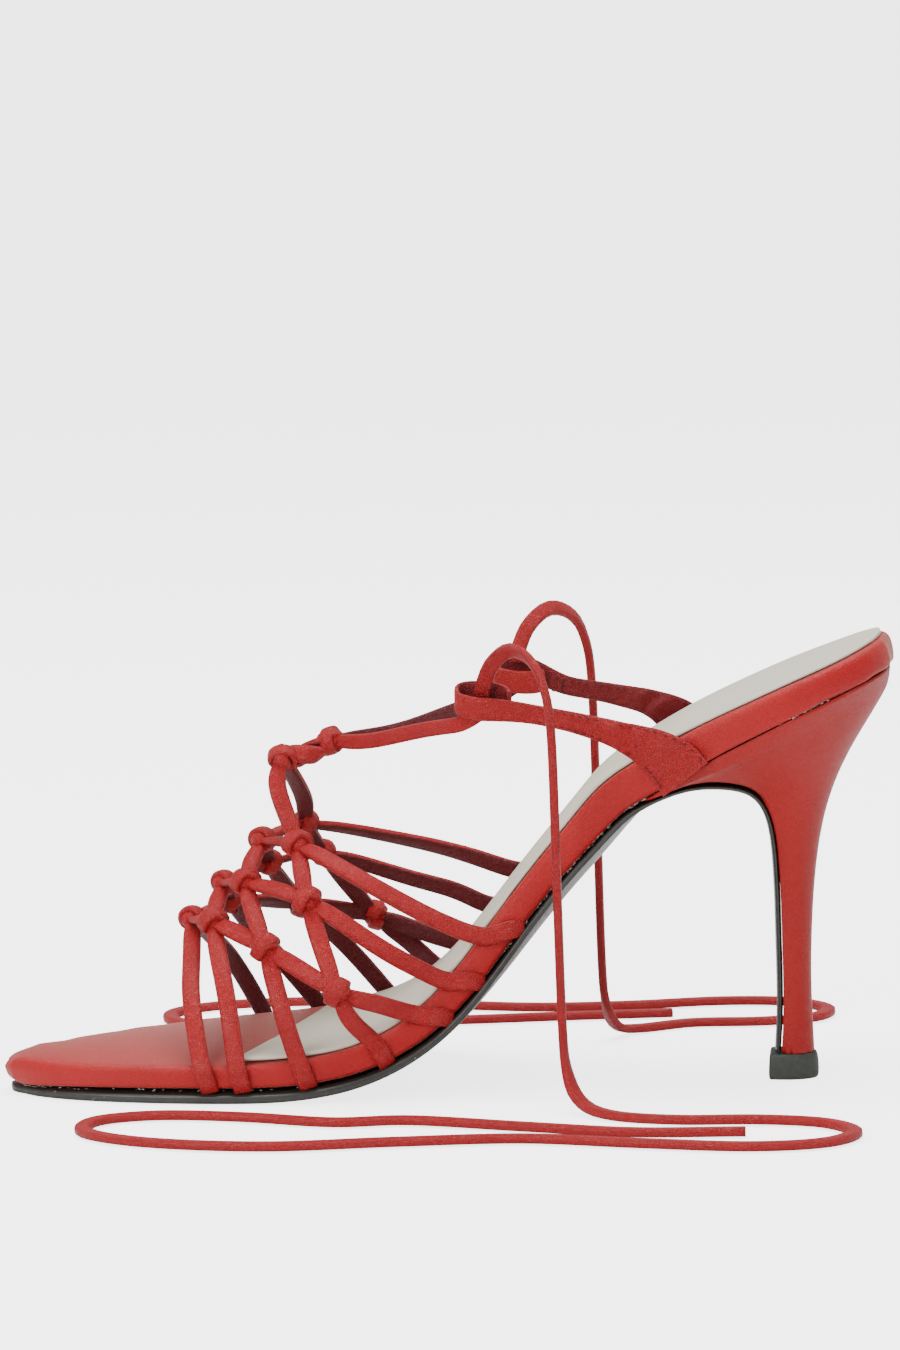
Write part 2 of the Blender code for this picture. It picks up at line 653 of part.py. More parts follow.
def make_upper(collection, material, mouths):
    knots = knot_points()
    pieces = []
    for side, straps in ((MEDIAL, MEDIAL_STRAPS), (LATERAL, LATERAL_STRAPS)):
        for k, (names, ends) in enumerate(straps):
            # Straps that cross differ a little in thickness, so that no two faces share a plane.
            thickness = STRAP_THICKNESS * (1.0 - 0.02 * k - (0.01 if side == LATERAL else 0.0))
            pieces.append(make_strap(f"strap_{side}_{k}", collection, material, names, ends, side, knots,
                                     thickness))
    for side in (MEDIAL, LATERAL):
        start = knots["throat_high"]
        mouth = mouths[side]
        points = [start]
        for back, inward, drop in THROAT_ROWS:
            points.append(mouth - Vector((back * LOOP_LENGTH, side * inward * LOOP_LENGTH, drop * LOOP_LENGTH)))
        path = smooth_path(points, 2)
        normals = [Vector((0, side, 0))] * len(path)
        widths = [STRAP_WIDTH * THROAT_STRAP] * len(path)
        shape = sweep(path, normals, widths, STRAP_THICKNESS)
        pieces.append(add_mesh(f"throat_{side}", collection, material, *shape))
    for name, spot in knots.items():
        way = outward(spot)
        pieces.append(make_knot("knot_" + name, collection, material, spot + way * KNOT_PROUD, way, KNOT))
    wrap = [knots["throat_low"], knots["throat_low"].lerp(knots["throat_high"], 0.5), knots["throat_high"]]
    path = smooth_path(wrap, 2)
    height, thickness = THROAT_WRAP
    shape = sweep(path, [Vector((0, -1, 0.2))] * len(path), [height] * len(path), thickness)
    pieces.append(add_mesh("throat_wrap", collection, material, *shape))
    return unite("upper", pieces, collection)


def ear_points(side):
    points = []
    back = LATERAL_EAR_BACK if side == LATERAL else 0.0
    rise = LATERAL_EAR_RISE if side == LATERAL else 0.0
    for k, (along, across, up, width) in enumerate(EAR_ROWS):
        free = min(k / 3, 1.0)
        points.append(Vector(((along + back * free) * LENGTH - TOE_AHEAD, side * across * BALL_WIDTH,
                              (up + rise * free) * SEAT_HEIGHT)))
    return points


def loop_mouth(side):
    # The middle of the loop at the front end of a stay strap.
    end = ear_points(side)[-1]
    return end + Vector((-LOOP_LENGTH / 2 - LOOP_OVERLAP, 0, LOOP_RISE))


def make_ear(name, side, collection, material):
    points = ear_points(side)
    steps = 3
    path = smooth_path(points, steps)
    widths = [curve_value(column(EAR_ROWS, EAR_COLUMNS, "width"), k / steps) * EAR_WIDTH for k in range(len(path))]
    stay = add_mesh(name, collection, material,
                    *sweep(path, [Vector((0, side, 0))] * len(path), widths, EAR_THICKNESS))
    middle = loop_mouth(side)
    count = 16
    ring = []
    for k in range(count):
        angle = 2 * pi * k / count
        x = cos(angle) * LOOP_LENGTH / 2
        squeeze = abs(sin(angle)) ** LOOP_SQUARENESS * (1 if sin(angle) > 0 else -1)
        lean = LOOP_LEAN * (1 + squeeze) / 2
        ring.append(middle + Vector((x, squeeze * LOOP_WIDTH / 2, lean - LOOP_TILT * x)))
    facing = [Vector((cos(2 * pi * k / count), sin(2 * pi * k / count), 0.0)) for k in range(count)]
    shape = sweep(ring, facing, [EAR_WIDTH * 1.06] * count, EAR_THICKNESS, closed=True)
    loop = add_mesh(name + "_loop", collection, material, *shape)
    return unite(name, [stay, loop], collection)


def make_tie(name, collection, material, route):
    # A limp lace: one tube on a smooth curve through the points of its route.
    steps = 2
    path = smooth_path([Vector(p) for p in route], steps)
    curve = bpy.data.curves.new(name, "CURVE")
    curve.dimensions = "3D"
    curve.bevel_depth = TIE_DIAMETER / 2
    curve.bevel_resolution = 2
    curve.use_fill_caps = True
    spline = curve.splines.new("POLY")
    spline.points.add(len(path) - 1)
    for point, spot in zip(spline.points, path):
        point.co = (spot.x, spot.y, max(spot.z, TIE_DIAMETER / 2), 1.0)
    body = bpy.data.objects.new(name, curve)
    collection.objects.link(body)
    curve.materials.append(material)
    return body


def build():
    clear_scene()
    parts = make_collection("leg_wrap_sandal")
    rand_leather = make_material("rand_leather", RED, 0.42)
    strap_leather = make_material("strap_leather", RED, 0.38)
    heel_leather = make_material("heel_leather", RED, 0.40)
    sole_black = make_material("sole_black", DARK, 0.35)
    tip_black = make_material("tip_black", DARK, 0.45)
    sock_grey = make_material("sock_grey", GREY, 0.6)
    make_footbed(parts, rand_leather)
    make_insole(parts, sock_grey)
    make_outsole(parts, sole_black)
    make_heel(parts, heel_leather)
    make_heel_tip(parts, tip_black)
    mouths = {side: loop_mouth(side) for side in (MEDIAL, LATERAL)}
    make_upper(parts, strap_leather, mouths)
    make_ear("ear_medial", MEDIAL, parts, rand_leather)
    make_ear("ear_lateral", LATERAL, parts, rand_leather)
    make_tie("tie_medial", parts, strap_leather, MEDIAL_TIE_ROUTE)
    make_tie("tie_lateral", parts, strap_leather, LATERAL_TIE_ROUTE)


build()
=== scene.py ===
# %% [markdown]
# # A leg wrap sandal
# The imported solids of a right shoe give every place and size. This lesson dresses them: soft leather over
# the sole and the heel, flat straps with real knots, stitched stays, long ties lying on the floor, and
# plain light. It reads nothing but the frame, and each cell can be run on its own after the ones above it.

# %% Load the frame
from math import cos, exp, pi, radians, sin
from random import Random

import bmesh
import bpy
from mathutils import Matrix, Vector


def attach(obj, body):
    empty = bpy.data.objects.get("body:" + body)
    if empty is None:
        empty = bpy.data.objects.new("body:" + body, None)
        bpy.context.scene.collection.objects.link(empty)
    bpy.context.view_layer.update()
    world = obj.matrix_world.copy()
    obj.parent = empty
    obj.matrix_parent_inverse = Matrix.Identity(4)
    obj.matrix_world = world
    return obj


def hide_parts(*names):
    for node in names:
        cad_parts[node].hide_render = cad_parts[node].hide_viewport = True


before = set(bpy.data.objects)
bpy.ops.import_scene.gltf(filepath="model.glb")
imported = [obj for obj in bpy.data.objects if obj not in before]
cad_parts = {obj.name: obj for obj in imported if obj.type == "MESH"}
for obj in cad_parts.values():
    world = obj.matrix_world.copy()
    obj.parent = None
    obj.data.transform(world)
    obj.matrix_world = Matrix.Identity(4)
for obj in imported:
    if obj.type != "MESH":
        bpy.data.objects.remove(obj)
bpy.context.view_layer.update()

print("nodes:", ", ".join(sorted(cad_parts)))

# %% [markdown]
# ## The camera
# The photo looks from a little above the shoe and slightly towards its heel, with a flat perspective. A
# long lens at 1.4 m gives the same. The frame is 1350 pixels high, and a focal length in pixels becomes a
# lens in millimetres through the height of the sensor. The camera comes first, since the ties have to lie
# in its view.

# %% The camera
IMAGE_HEIGHT = 1350
SENSOR = 36.0                # millimetres
FOCAL = 5636.0               # pixels of the photo
AIM = Vector((0.0625, 0.0, 0.102))
DISTANCE = 1.4
EYE_HEIGHT = 0.28
YAW = radians(-4.0)
ROLL = radians(-0.75)
CLIP_START = 0.05

eye = Vector((AIM.x - DISTANCE * sin(YAW), -DISTANCE * cos(YAW), EYE_HEIGHT))
forward = (AIM - eye).normalized()
level = forward.cross(Vector((0, 0, 1))).normalized()
upright = level.cross(forward)
to_right = cos(ROLL) * level + sin(ROLL) * upright
to_top = cos(ROLL) * upright - sin(ROLL) * level
camera = bpy.data.objects.new("camera", bpy.data.cameras.new("camera"))
bpy.context.scene.collection.objects.link(camera)
camera.matrix_world = Matrix.Translation(eye) @ Matrix((to_right, to_top, -forward)).transposed().to_4x4()
camera.data.sensor_width = SENSOR
camera.data.lens = FOCAL / IMAGE_HEIGHT * SENSOR
camera.data.clip_start = CLIP_START
bpy.context.scene.camera = camera
print("lens: %.1f mm" % camera.data.lens)

# %% [markdown]
# ## Curves through a few points
# A strap, a stay and a tie are all flat bands that follow a smooth line. The line is a curve through a few
# listed places. `curve_value` reads one coordinate of it, and `smooth_path` walks along the whole of it.

# %% Smooth lines
FINE_STEPS = 24


def curve_value(values, t):
    last = len(values) - 1
    i = min(max(int(t), 0), last - 1)
    f = t - i
    before = values[max(i - 1, 0)]
    start = values[i]
    end = values[i + 1]
    after = values[min(i + 2, last)]
    slope_in = (end - before) * (0.5 if i > 0 else 1.0)
    slope_out = (after - start) * (0.5 if i + 2 <= last else 1.0)
    square = f * f
    cube = square * f
    return (start * (2 * cube - 3 * square + 1) + slope_in * (cube - 2 * square + f)
            + end * (3 * square - 2 * cube) + slope_out * (cube - square))


def smooth_path(points, steps):
    axes = [[point[k] for point in points] for k in range(3)]
    count = (len(points) - 1) * steps
    return [Vector([curve_value(axis, n / steps) for axis in axes]) for n in range(count + 1)]


def even_path(points, spacing):
    # The same line with its points this far apart.
    fine = smooth_path(points, FINE_STEPS)
    path = [fine[0]]
    for spot in fine[1:]:
        if (spot - path[-1]).length >= spacing:
            path.append(spot)
    path[-1] = fine[-1]
    return path


def relaxed(places, rounds):
    # Each place moves towards its neighbours again and again, which rounds off bends that are too sharp.
    for _ in range(rounds):
        inner = [(a + 2 * b + c) / 4 for a, b, c in zip(places, places[1:], places[2:])]
        places = [places[0]] + inner + [places[-1]]
    return places

# %% [markdown]
# ## Sweeping a flat band
# A circle of vertices is pressed into a flat band with round edges. Its edges are extruded from place to
# place along the line. Three numbers stay on each vertex, so that creases and colours can follow the
# leather: `run` is the way along the band in metres, `side` goes from -1 to 1 across it, and `face` is 1
# outside and -1 on the lining.

# %% The band tool
BAND_CORNERS = 18
BAND_SQUARENESS = 3.6       # 2 is an ellipse, more is squarer


def band_section(corner, corners):
    # Shares of half the width and half the thickness at one corner of the band.
    angle = 2 * pi * corner / corners
    across = cos(angle)
    out = (1 - abs(across) ** BAND_SQUARENESS) ** (1 / BAND_SQUARENESS)
    return across, out if sin(angle) > 0 else -out


def rim_edges(ring):
    inside = set(ring)
    around = {edge for vert in ring for edge in vert.link_edges}
    return [edge for edge in around if edge.verts[0] in inside and edge.verts[1] in inside]


def add_band_layers(work):
    names = ("run", "side", "face")
    return [work.verts.layers.float.get(name) or work.verts.layers.float.new(name) for name in names]


def sweep_band(work, path, normals, widths, thicknesses, corners=BAND_CORNERS):
    # The band grows in a small mesh of its own, which is quick, and then joins the piece.
    strip = bmesh.new()
    run_layer, side_layer, face_layer = add_band_layers(strip)
    ring = bmesh.ops.create_circle(strip, cap_ends=False, segments=corners, radius=1.0)["verts"]
    first_ring = ring
    last = len(path) - 1
    run = 0.0
    for k, spot in enumerate(path):
        if k > 0:
            run += (spot - path[k - 1]).length
            places = {vert: corner for corner, vert in enumerate(ring)}
            made = bmesh.ops.extrude_edge_only(strip, edges=rim_edges(ring))["geom"]
            ring = [None] * corners
            for vert in (item for item in made if isinstance(item, bmesh.types.BMVert)):
                below = [edge.other_vert(vert) for edge in vert.link_edges if edge.other_vert(vert) in places]
                ring[places[below[0]]] = vert
        along = (path[min(k + 1, last)] - path[max(k - 1, 0)]).normalized()
        across = along.cross(normals[k]).normalized()
        out = across.cross(along).normalized()
        for corner, vert in enumerate(ring):
            side, face = band_section(corner, corners)
            vert.co = spot + across * side * widths[k] / 2 + out * face * thicknesses[k] / 2
            vert[run_layer] = run
            vert[side_layer] = side
            vert[face_layer] = face
    bmesh.ops.contextual_create(strip, geom=rim_edges(first_ring))
    bmesh.ops.contextual_create(strip, geom=rim_edges(ring))
    joined = bpy.data.meshes.new("strip")
    strip.to_mesh(joined)
    strip.free()
    add_band_layers(work)
    work.from_mesh(joined)
    bpy.data.meshes.remove(joined)
    return run


def finish_piece(name, work, material, nodes=()):
    bmesh.ops.recalc_face_normals(work, faces=work.faces)
    mesh = bpy.data.meshes.new(name)
    work.to_mesh(mesh)
    work.free()
    mesh.shade_smooth()
    mesh.materials.append(material)
    piece = bpy.data.objects.new(name, mesh)
    bpy.context.scene.collection.objects.link(piece)
    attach(piece, "root")
    if nodes:
        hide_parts(*nodes)
    print(name, "has", len(mesh.polygons), "faces")
    return piece

# %% [markdown]
# ## Effects that several leathers share
# Leather has fine pores, a soft unevenness of colour from the dye, and small marks. Each effect is a node
# group with named inputs and outputs, built once, so that every leather can use it with its own values. A
# group holds only textures and sums. The shader itself stays in each material.

# %% Shared effects
LINE_PLACE = 0.74            # how far across a band the line of its turned edge lies
EDGE_START = 0.62            # and where the darker edge begins


def new_group(name, inputs, outputs):
    group = bpy.data.node_groups.new(name, "ShaderNodeTree")
    for label, value in inputs:
        socket = group.interface.new_socket(label, in_out="INPUT", socket_type="NodeSocketFloat")
        socket.default_value = value
    for label in outputs:
        group.interface.new_socket(label, in_out="OUTPUT", socket_type="NodeSocketFloat")
    return group, group.nodes.new("NodeGroupInput"), group.nodes.new("NodeGroupOutput")


def connect(tree, start, end):
    tree.links.new(start, end)


def sum_node(tree, operation, first, second, clamp=False):
    node = tree.nodes.new("ShaderNodeMath")
    node.operation = operation
    node.use_clamp = clamp
    for socket, value in zip(node.inputs, (first, second)):
        if isinstance(value, (int, float)):
            socket.default_value = value
        else:
            connect(tree, value, socket)
    return node.outputs[0]


def object_place(tree):
    return tree.nodes.new("ShaderNodeTexCoord").outputs["Object"]


def vertex_number(tree, name):
    node = tree.nodes.new("ShaderNodeAttribute")
    node.attribute_name = name
    return node.outputs["Fac"]


def noise_node(tree, vector, scale, detail, roughness=0.5):
    node = tree.nodes.new("ShaderNodeTexNoise")
    node.inputs["Scale"].default_value = scale
    node.inputs["Detail"].default_value = detail
    node.inputs["Roughness"].default_value = roughness
    connect(tree, vector, node.inputs["Vector"])
    return node.outputs["Fac"]


def make_grain_group():
    # Pores: the lines between small cells, broken up by a finer noise.
    group, given, result = new_group("leather grain", [("Pores per metre", 1300.0), ("Unevenness", 0.5)],
                                     ["Height", "Tone"])
    place = object_place(group)
    cells = group.nodes.new("ShaderNodeTexVoronoi")
    cells.feature = "DISTANCE_TO_EDGE"
    connect(group, place, cells.inputs["Vector"])
    connect(group, given.outputs["Pores per metre"], cells.inputs["Scale"])
    lines = sum_node(group, "MULTIPLY", cells.outputs["Distance"], 3.0, clamp=True)
    fine = noise_node(group, place, 2600.0, 2.0)
    height = sum_node(group, "ADD", sum_node(group, "MULTIPLY", lines, 0.6),
                      sum_node(group, "MULTIPLY", fine, 0.4))
    connect(group, height, result.inputs["Height"])
    broad = noise_node(group, place, 55.0, 3.0)
    centred = sum_node(group, "SUBTRACT", broad, 0.5)
    connect(group, sum_node(group, "MULTIPLY", centred, given.outputs["Unevenness"]), result.inputs["Tone"])
    return group


def make_speck_group():
    # Small scattered marks: the peaks of a noise, cut off sharply.
    group, given, result = new_group("specks", [("Size per metre", 700.0), ("Share", 0.3)], ["Mask"])
    place = object_place(group)
    noise = group.nodes.new("ShaderNodeTexNoise")
    noise.inputs["Detail"].default_value = 3.0
    noise.inputs["Roughness"].default_value = 0.65
    connect(group, place, noise.inputs["Vector"])
    connect(group, given.outputs["Size per metre"], noise.inputs["Scale"])
    limit = sum_node(group, "SUBTRACT", 0.72, sum_node(group, "MULTIPLY", given.outputs["Share"], 0.3))
    above = sum_node(group, "SUBTRACT", noise.outputs["Fac"], limit)
    connect(group, sum_node(group, "MULTIPLY", above, 14.0, clamp=True), result.inputs["Mask"])
    return group


def make_band_group():
    # A folded band: a fine line along each edge where the leather is turned, and soft waves along it.
    group, given, result = new_group("folded band", [("Line depth", 0.5), ("Waves per metre", 160.0)],
                                     ["Height", "Edge", "Lining"])
    reach = sum_node(group, "ABSOLUTE", vertex_number(group, "side"), 0.0)
    off_line = sum_node(group, "ABSOLUTE", sum_node(group, "SUBTRACT", reach, LINE_PLACE), 0.0)
    line = sum_node(group, "SUBTRACT", 1.0, sum_node(group, "MULTIPLY", off_line, 14.0), clamp=True)
    wave = noise_node(group, object_place(group), 160.0, 1.0)
    connect(group, given.outputs["Waves per metre"], wave.node.inputs["Scale"])
    height = sum_node(group, "SUBTRACT", wave, sum_node(group, "MULTIPLY", line, given.outputs["Line depth"]))
    connect(group, height, result.inputs["Height"])
    edge = sum_node(group, "MULTIPLY", sum_node(group, "SUBTRACT", reach, EDGE_START), 2.6, clamp=True)
    connect(group, edge, result.inputs["Edge"])
    # The inner face is marked here; straps and stays colour it darker, partly as painted shade.
    inside = sum_node(group, "SUBTRACT", -0.2, vertex_number(group, "face"))
    connect(group, sum_node(group, "MULTIPLY", inside, 3.0, clamp=True), result.inputs["Lining"])
    return group


grain_group = make_grain_group()
speck_group = make_speck_group()
band_group = make_band_group()
print("groups:", grain_group.name, "/", speck_group.name, "/", band_group.name)

# %% [markdown]
# ## The materials
# All the red is one dyed leather, but it takes the light differently where it is stretched over the board,
# rolled into a strap, or seen from its lining. The lining colours are darker than the leather: partly the
# lining's own tone and partly painted shade on the inner faces. The helper builds the part that they share,
# and each finish gets a short function of its own. A value that is the same all over the surface is set on
# the shader's own socket.

# %% Leather
def place_group(tree, group, **values):
    node = tree.nodes.new("ShaderNodeGroup")
    node.node_tree = group
    for label, value in values.items():
        node.inputs[label.replace("_", " ")].default_value = value
    return node


def mix_colour(tree, share, first, second):
    node = tree.nodes.new("ShaderNodeMix")
    node.data_type = "RGBA"
    for socket, value in ((node.inputs[0], share), (node.inputs[6], first), (node.inputs[7], second)):
        if isinstance(value, (int, float, tuple)):
            socket.default_value = value
        else:
            connect(tree, value, socket)
    return node.outputs[2]


def bump(tree, height, distance, strength, after=None):
    node = tree.nodes.new("ShaderNodeBump")
    node.inputs["Distance"].default_value = distance
    node.inputs["Strength"].default_value = strength
    connect(tree, height, node.inputs["Height"])
    if after is not None:
        connect(tree, after, node.inputs["Normal"])
    return node.outputs["Normal"]


def new_material(name, roughness, coat=0.0, coat_roughness=0.3, specular=0.5):
    material = bpy.data.materials.new(name)
    material.use_nodes = True
    shader = material.node_tree.nodes["Principled BSDF"]
    shader.inputs["Roughness"].default_value = roughness
    shader.inputs["Coat Weight"].default_value = coat
    shader.inputs["Coat Roughness"].default_value = coat_roughness
    shader.inputs["Specular IOR Level"].default_value = specular
    return material, shader


def dyed_colour(tree, grain, light, dark):
    share = sum_node(tree, "ADD", grain.outputs["Tone"], 0.5, clamp=True)
    return mix_colour(tree, share, dark, light)


RED = (0.49, 0.0088, 0.0105, 1.0)
RED_DEEP = (0.36, 0.0065, 0.0085, 1.0)
# The lining is darker than the red: partly the lining's own tone, partly painted shade on the straps' inner
# faces.
LINING_WITH_PAINTED_SHADE = (0.12, 0.0030, 0.0070, 1.0)
HEEL_RED = (0.41, 0.0120, 0.0110, 1.0)
HEEL_RED_DEEP = (0.33, 0.0090, 0.0085, 1.0)
STAY_RED = (0.46, 0.0085, 0.0085, 1.0)
# The stays' lining is darker too: partly its own tone, partly painted shade on their inner faces.
STAY_LINING_WITH_PAINTED_SHADE = (0.20, 0.0040, 0.0070, 1.0)


def stretched_leather(name, light, dark, roughness, sheen):
    # Leather pulled smooth over board or heel: shallow grain and a soft sheen.
    material, shader = new_material(name, roughness, coat=0.04, coat_roughness=0.28, specular=0.28)
    tree = material.node_tree
    shader.inputs["Sheen Weight"].default_value = sheen
    shader.inputs["Sheen Roughness"].default_value = 0.35
    shader.inputs["Sheen Tint"].default_value = (1.0, 0.86, 0.72, 1.0)
    grain = place_group(tree, grain_group, Pores_per_metre=2000.0, Unevenness=0.9)
    connect(tree, dyed_colour(tree, grain, light, dark), shader.inputs["Base Color"])
    waves = noise_node(tree, object_place(tree), 90.0, 2.0)
    uneven = bump(tree, waves, 0.0006, 0.25)
    connect(tree, bump(tree, grain.outputs["Height"], 0.00016, 0.7, uneven), shader.inputs["Normal"])
    return material


def band_leather(name, light, dark, lining, roughness):
    # Leather folded into a band: a turned edge on each side and a darker lining, partly painted shade on the
    # inner face.
    material, shader = new_material(name, roughness, coat=0.08, coat_roughness=0.3, specular=0.36)
    tree = material.node_tree
    grain = place_group(tree, grain_group, Pores_per_metre=2000.0, Unevenness=1.0)
    folded = place_group(tree, band_group, Line_depth=0.5, Waves_per_metre=260.0)
    outside = dyed_colour(tree, grain, light, dark)
    edged = mix_colour(tree, sum_node(tree, "MULTIPLY", folded.outputs["Edge"], 0.35), outside, dark)
    connect(tree, mix_colour(tree, folded.outputs["Lining"], edged, lining), shader.inputs["Base Color"])
    rolled = bump(tree, folded.outputs["Height"], 0.00035, 0.5)
    connect(tree, bump(tree, grain.outputs["Height"], 0.00034, 1.0, rolled), shader.inputs["Normal"])
    return material


rand_red = stretched_leather("red leather on the board", RED, RED_DEEP, 0.40, 0.45)
heel_red = stretched_leather("red leather on the heel", HEEL_RED, HEEL_RED_DEEP, 0.42, 0.05)
strap_red = band_leather("red leather of the straps", RED, RED_DEEP, LINING_WITH_PAINTED_SHADE, 0.42)
stay_red = band_leather("red leather of the stays", STAY_RED, RED_DEEP, STAY_LINING_WITH_PAINTED_SHADE, 0.42)
tie_red = band_leather("red leather of the ties", RED, RED_DEEP, RED_DEEP, 0.42)
print("red leathers:", rand_red.name, heel_red.name, strap_red.name, stay_red.name, tie_red.name, sep="\n  ")

# %% [markdown]
# The other finishes are plainer. The sock is a pale grey brown lining leather with a dull face. The unit
# sole is black and polished, with pale crumbs of glue along its seam. The top piece is a harder, duller
# rubber, and the thread of the stitches is a darker red.

# %% Sock, sole, top piece and thread
SOCK_LIGHT = (0.76, 0.715, 0.580, 1.0)
SOCK_DARK = (0.62, 0.580, 0.465, 1.0)
SOLE_BLACK = (0.014, 0.016, 0.013, 1.0)
SOLE_RUBBED = (0.040, 0.044, 0.036, 1.0)
GLUE = (0.40, 0.40, 0.36, 1.0)
TIP_BLACK = (0.025, 0.030, 0.025, 1.0)
TIP_RUBBED = (0.060, 0.070, 0.056, 1.0)
THREAD = (0.085, 0.0020, 0.0030, 1.0)


def sock_leather():
    material, shader = new_material("grey lining of the sock", 0.62, specular=0.35)
    tree = material.node_tree
    grain = place_group(tree, grain_group, Pores_per_metre=1100.0, Unevenness=0.8)
    connect(tree, dyed_colour(tree, grain, SOCK_LIGHT, SOCK_DARK), shader.inputs["Base Color"])
    connect(tree, bump(tree, grain.outputs["Height"], 0.00004, 0.5), shader.inputs["Normal"])
    return material


def polished_sole():
    material, shader = new_material("black unit sole", 0.38, coat=0.15, coat_roughness=0.2)
    tree = material.node_tree
    specks = place_group(tree, speck_group, Size_per_metre=900.0, Share=0.12)
    rub = noise_node(tree, object_place(tree), 240.0, 4.0, 0.6)
    black = mix_colour(tree, rub, SOLE_BLACK, SOLE_RUBBED)
    connect(tree, mix_colour(tree, specks.outputs["Mask"], black, GLUE), shader.inputs["Base Color"])
    connect(tree, bump(tree, rub, 0.0002, 0.3), shader.inputs["Normal"])
    return material


def top_piece_rubber():
    material, shader = new_material("rubber of the top piece", 0.5)
    tree = material.node_tree
    rub = noise_node(tree, object_place(tree), 600.0, 3.0, 0.6)
    connect(tree, mix_colour(tree, rub, TIP_BLACK, TIP_RUBBED), shader.inputs["Base Color"])
    connect(tree, bump(tree, rub, 0.0002, 0.4), shader.inputs["Normal"])
    return material


def stitch_thread():
    material, shader = new_material("dark red thread", 0.6)
    shader.inputs["Base Color"].default_value = THREAD
    return material


sock_grey = sock_leather()
sole_black = polished_sole()
tip_black = top_piece_rubber()
thread_red = stitch_thread()
print("plain finishes:", sock_grey.name, sole_black.name, tip_black.name, thread_red.name, sep="\n  ")

# %% [markdown]
# ## The ties
# Worn, the two ties go round the ankle. On an empty shoe they lie down: each comes up out of its loop,
# bends over it, hangs down beside the shoe and lies on the floor in loose curves. They are flat limp laces,
# 59 and 55 cm long. The points are the ones that the solids follow. The band's flat side is carried along
# the line without twisting, and turns to lie on the floor where the tie comes down.

# %% The ties
TIE_WIDTH = 0.0040
TIE_THICKNESS = 0.0022
MEDIAL_TIE_ROUTE = (
    (0.0716, -0.0214, 0.0988), (0.0723, -0.0217, 0.1026), (0.0748, -0.0235, 0.1080),
    (0.0795, -0.0280, 0.1116), (0.0845, -0.0340, 0.1098), (0.0879, -0.0382, 0.1038),
    (0.0898, -0.0402, 0.0915), (0.0908, -0.0413, 0.0570),
    (0.0918, -0.0422, 0.0220), (0.0930, -0.0440, 0.0100), (0.0965, -0.0490, 0.0034),
    (0.1040, -0.0555, 0.0014), (0.1200, -0.0610, 0.0014), (0.1400, -0.0605, 0.0014),
    (0.1560, -0.0645, 0.0014), (0.1630, -0.0755, 0.0014), (0.1560, -0.0870, 0.0014),
    (0.1380, -0.0915, 0.0014), (0.1120, -0.0880, 0.0014), (0.0840, -0.0830, 0.0014),
    (0.0540, -0.0870, 0.0014), (0.0240, -0.0925, 0.0014), (-0.0040, -0.0885, 0.0014),
    (-0.0210, -0.0775, 0.0014), (-0.0205, -0.0635, 0.0014), (-0.0060, -0.0565, 0.0014),
    (0.0150, -0.0585, 0.0014), (0.0370, -0.0645, 0.0014), (0.0560, -0.0620, 0.0014),
    (0.0830, -0.0690, 0.0014), (0.1100, -0.0755, 0.0014), (0.1370, -0.0745, 0.0014),
)
LATERAL_TIE_ROUTE = (
    (0.0780, 0.0214, 0.1026), (0.0787, 0.0217, 0.1064), (0.0812, 0.0235, 0.1118), (0.0859, 0.0280, 0.1154),
    (0.0909, 0.0340, 0.1136), (0.0943, 0.0382, 0.1076), (0.0962, 0.0402, 0.0950), (0.0972, 0.0413, 0.0580),
    (0.0980, 0.0422, 0.0220), (0.0990, 0.0440, 0.0100), (0.1015, 0.0490, 0.0034),
    (0.1070, 0.0560, 0.0014), (0.1210, 0.0640, 0.0014), (0.1390, 0.0660, 0.0014), (0.1530, 0.0720, 0.0014),
    (0.1560, 0.0840, 0.0014), (0.1460, 0.0940, 0.0014), (0.1270, 0.0950, 0.0014), (0.1040, 0.0890, 0.0014),
    (0.0780, 0.0860, 0.0014), (0.0500, 0.0905, 0.0014), (0.0220, 0.0945, 0.0014), (-0.0040, 0.0895, 0.0014),
    (-0.0175, 0.0780, 0.0014), (-0.0155, 0.0645, 0.0014), (-0.0010, 0.0575, 0.0014),
    (0.0190, 0.0610, 0.0014), (0.0390, 0.0680, 0.0014), (0.0570, 0.0675, 0.0014),
    (0.0860, 0.0730, 0.0014), (0.1150, 0.0780, 0.0014),
)
TIE_SPACING = 0.0022
FLOOR_GAP = 0.0001
LIE_BELOW = 0.016          # height where a hanging tie begins to turn flat
LIE_SPEED = 1.4
LIE_ROUNDS = 12
MEDIAL = -1
LATERAL = 1


def carried_normals(path, first):
    # The flat side turns only as much as the line itself does.
    normals = [first]
    for k in range(1, len(path)):
        before = (path[k] - path[k - 1]).normalized()
        after = (path[min(k + 1, len(path) - 1)] - path[k - 1]).normalized()
        turned = before.rotation_difference(after) @ normals[-1] if k > 1 else normals[-1]
        normals.append((turned - after * turned.dot(after)).normalized())
    return normals


def laid_flat(path, normals):
    # Close to the floor the flat side turns towards it, on the nearer of its two faces.
    turned = []
    face = 1
    for spot, normal in zip(path, normals):
        share = min(max((LIE_BELOW - spot.z) / LIE_BELOW * LIE_SPEED, 0.0), 1.0)
        if share == 0.0:
            face = 1 if normal.z >= 0 else -1
        turned.append(normal.lerp(Vector((0, 0, face)), share).normalized())
    return [normal.normalized() for normal in relaxed(turned, LIE_ROUNDS)]


def make_tie(name, node, side, route):
    path = even_path([Vector(point) for point in route], TIE_SPACING)
    for spot in path:
        spot.z = max(spot.z, TIE_THICKNESS / 2 + FLOOR_GAP)
    normals = laid_flat(path, carried_normals(path, Vector((0, -side, 0))))
    work = bmesh.new()
    length = sweep_band(work, path, normals, [TIE_WIDTH] * len(path), [TIE_THICKNESS] * len(path))
    piece = finish_piece(name, work, tie_red, [node])
    print("%s is %.0f mm long" % (name, length * 1000))
    return piece


make_tie("tie_near", "tie_medial", MEDIAL, MEDIAL_TIE_ROUTE)
make_tie("tie_far", "tie_lateral", LATERAL, LATERAL_TIE_ROUTE)

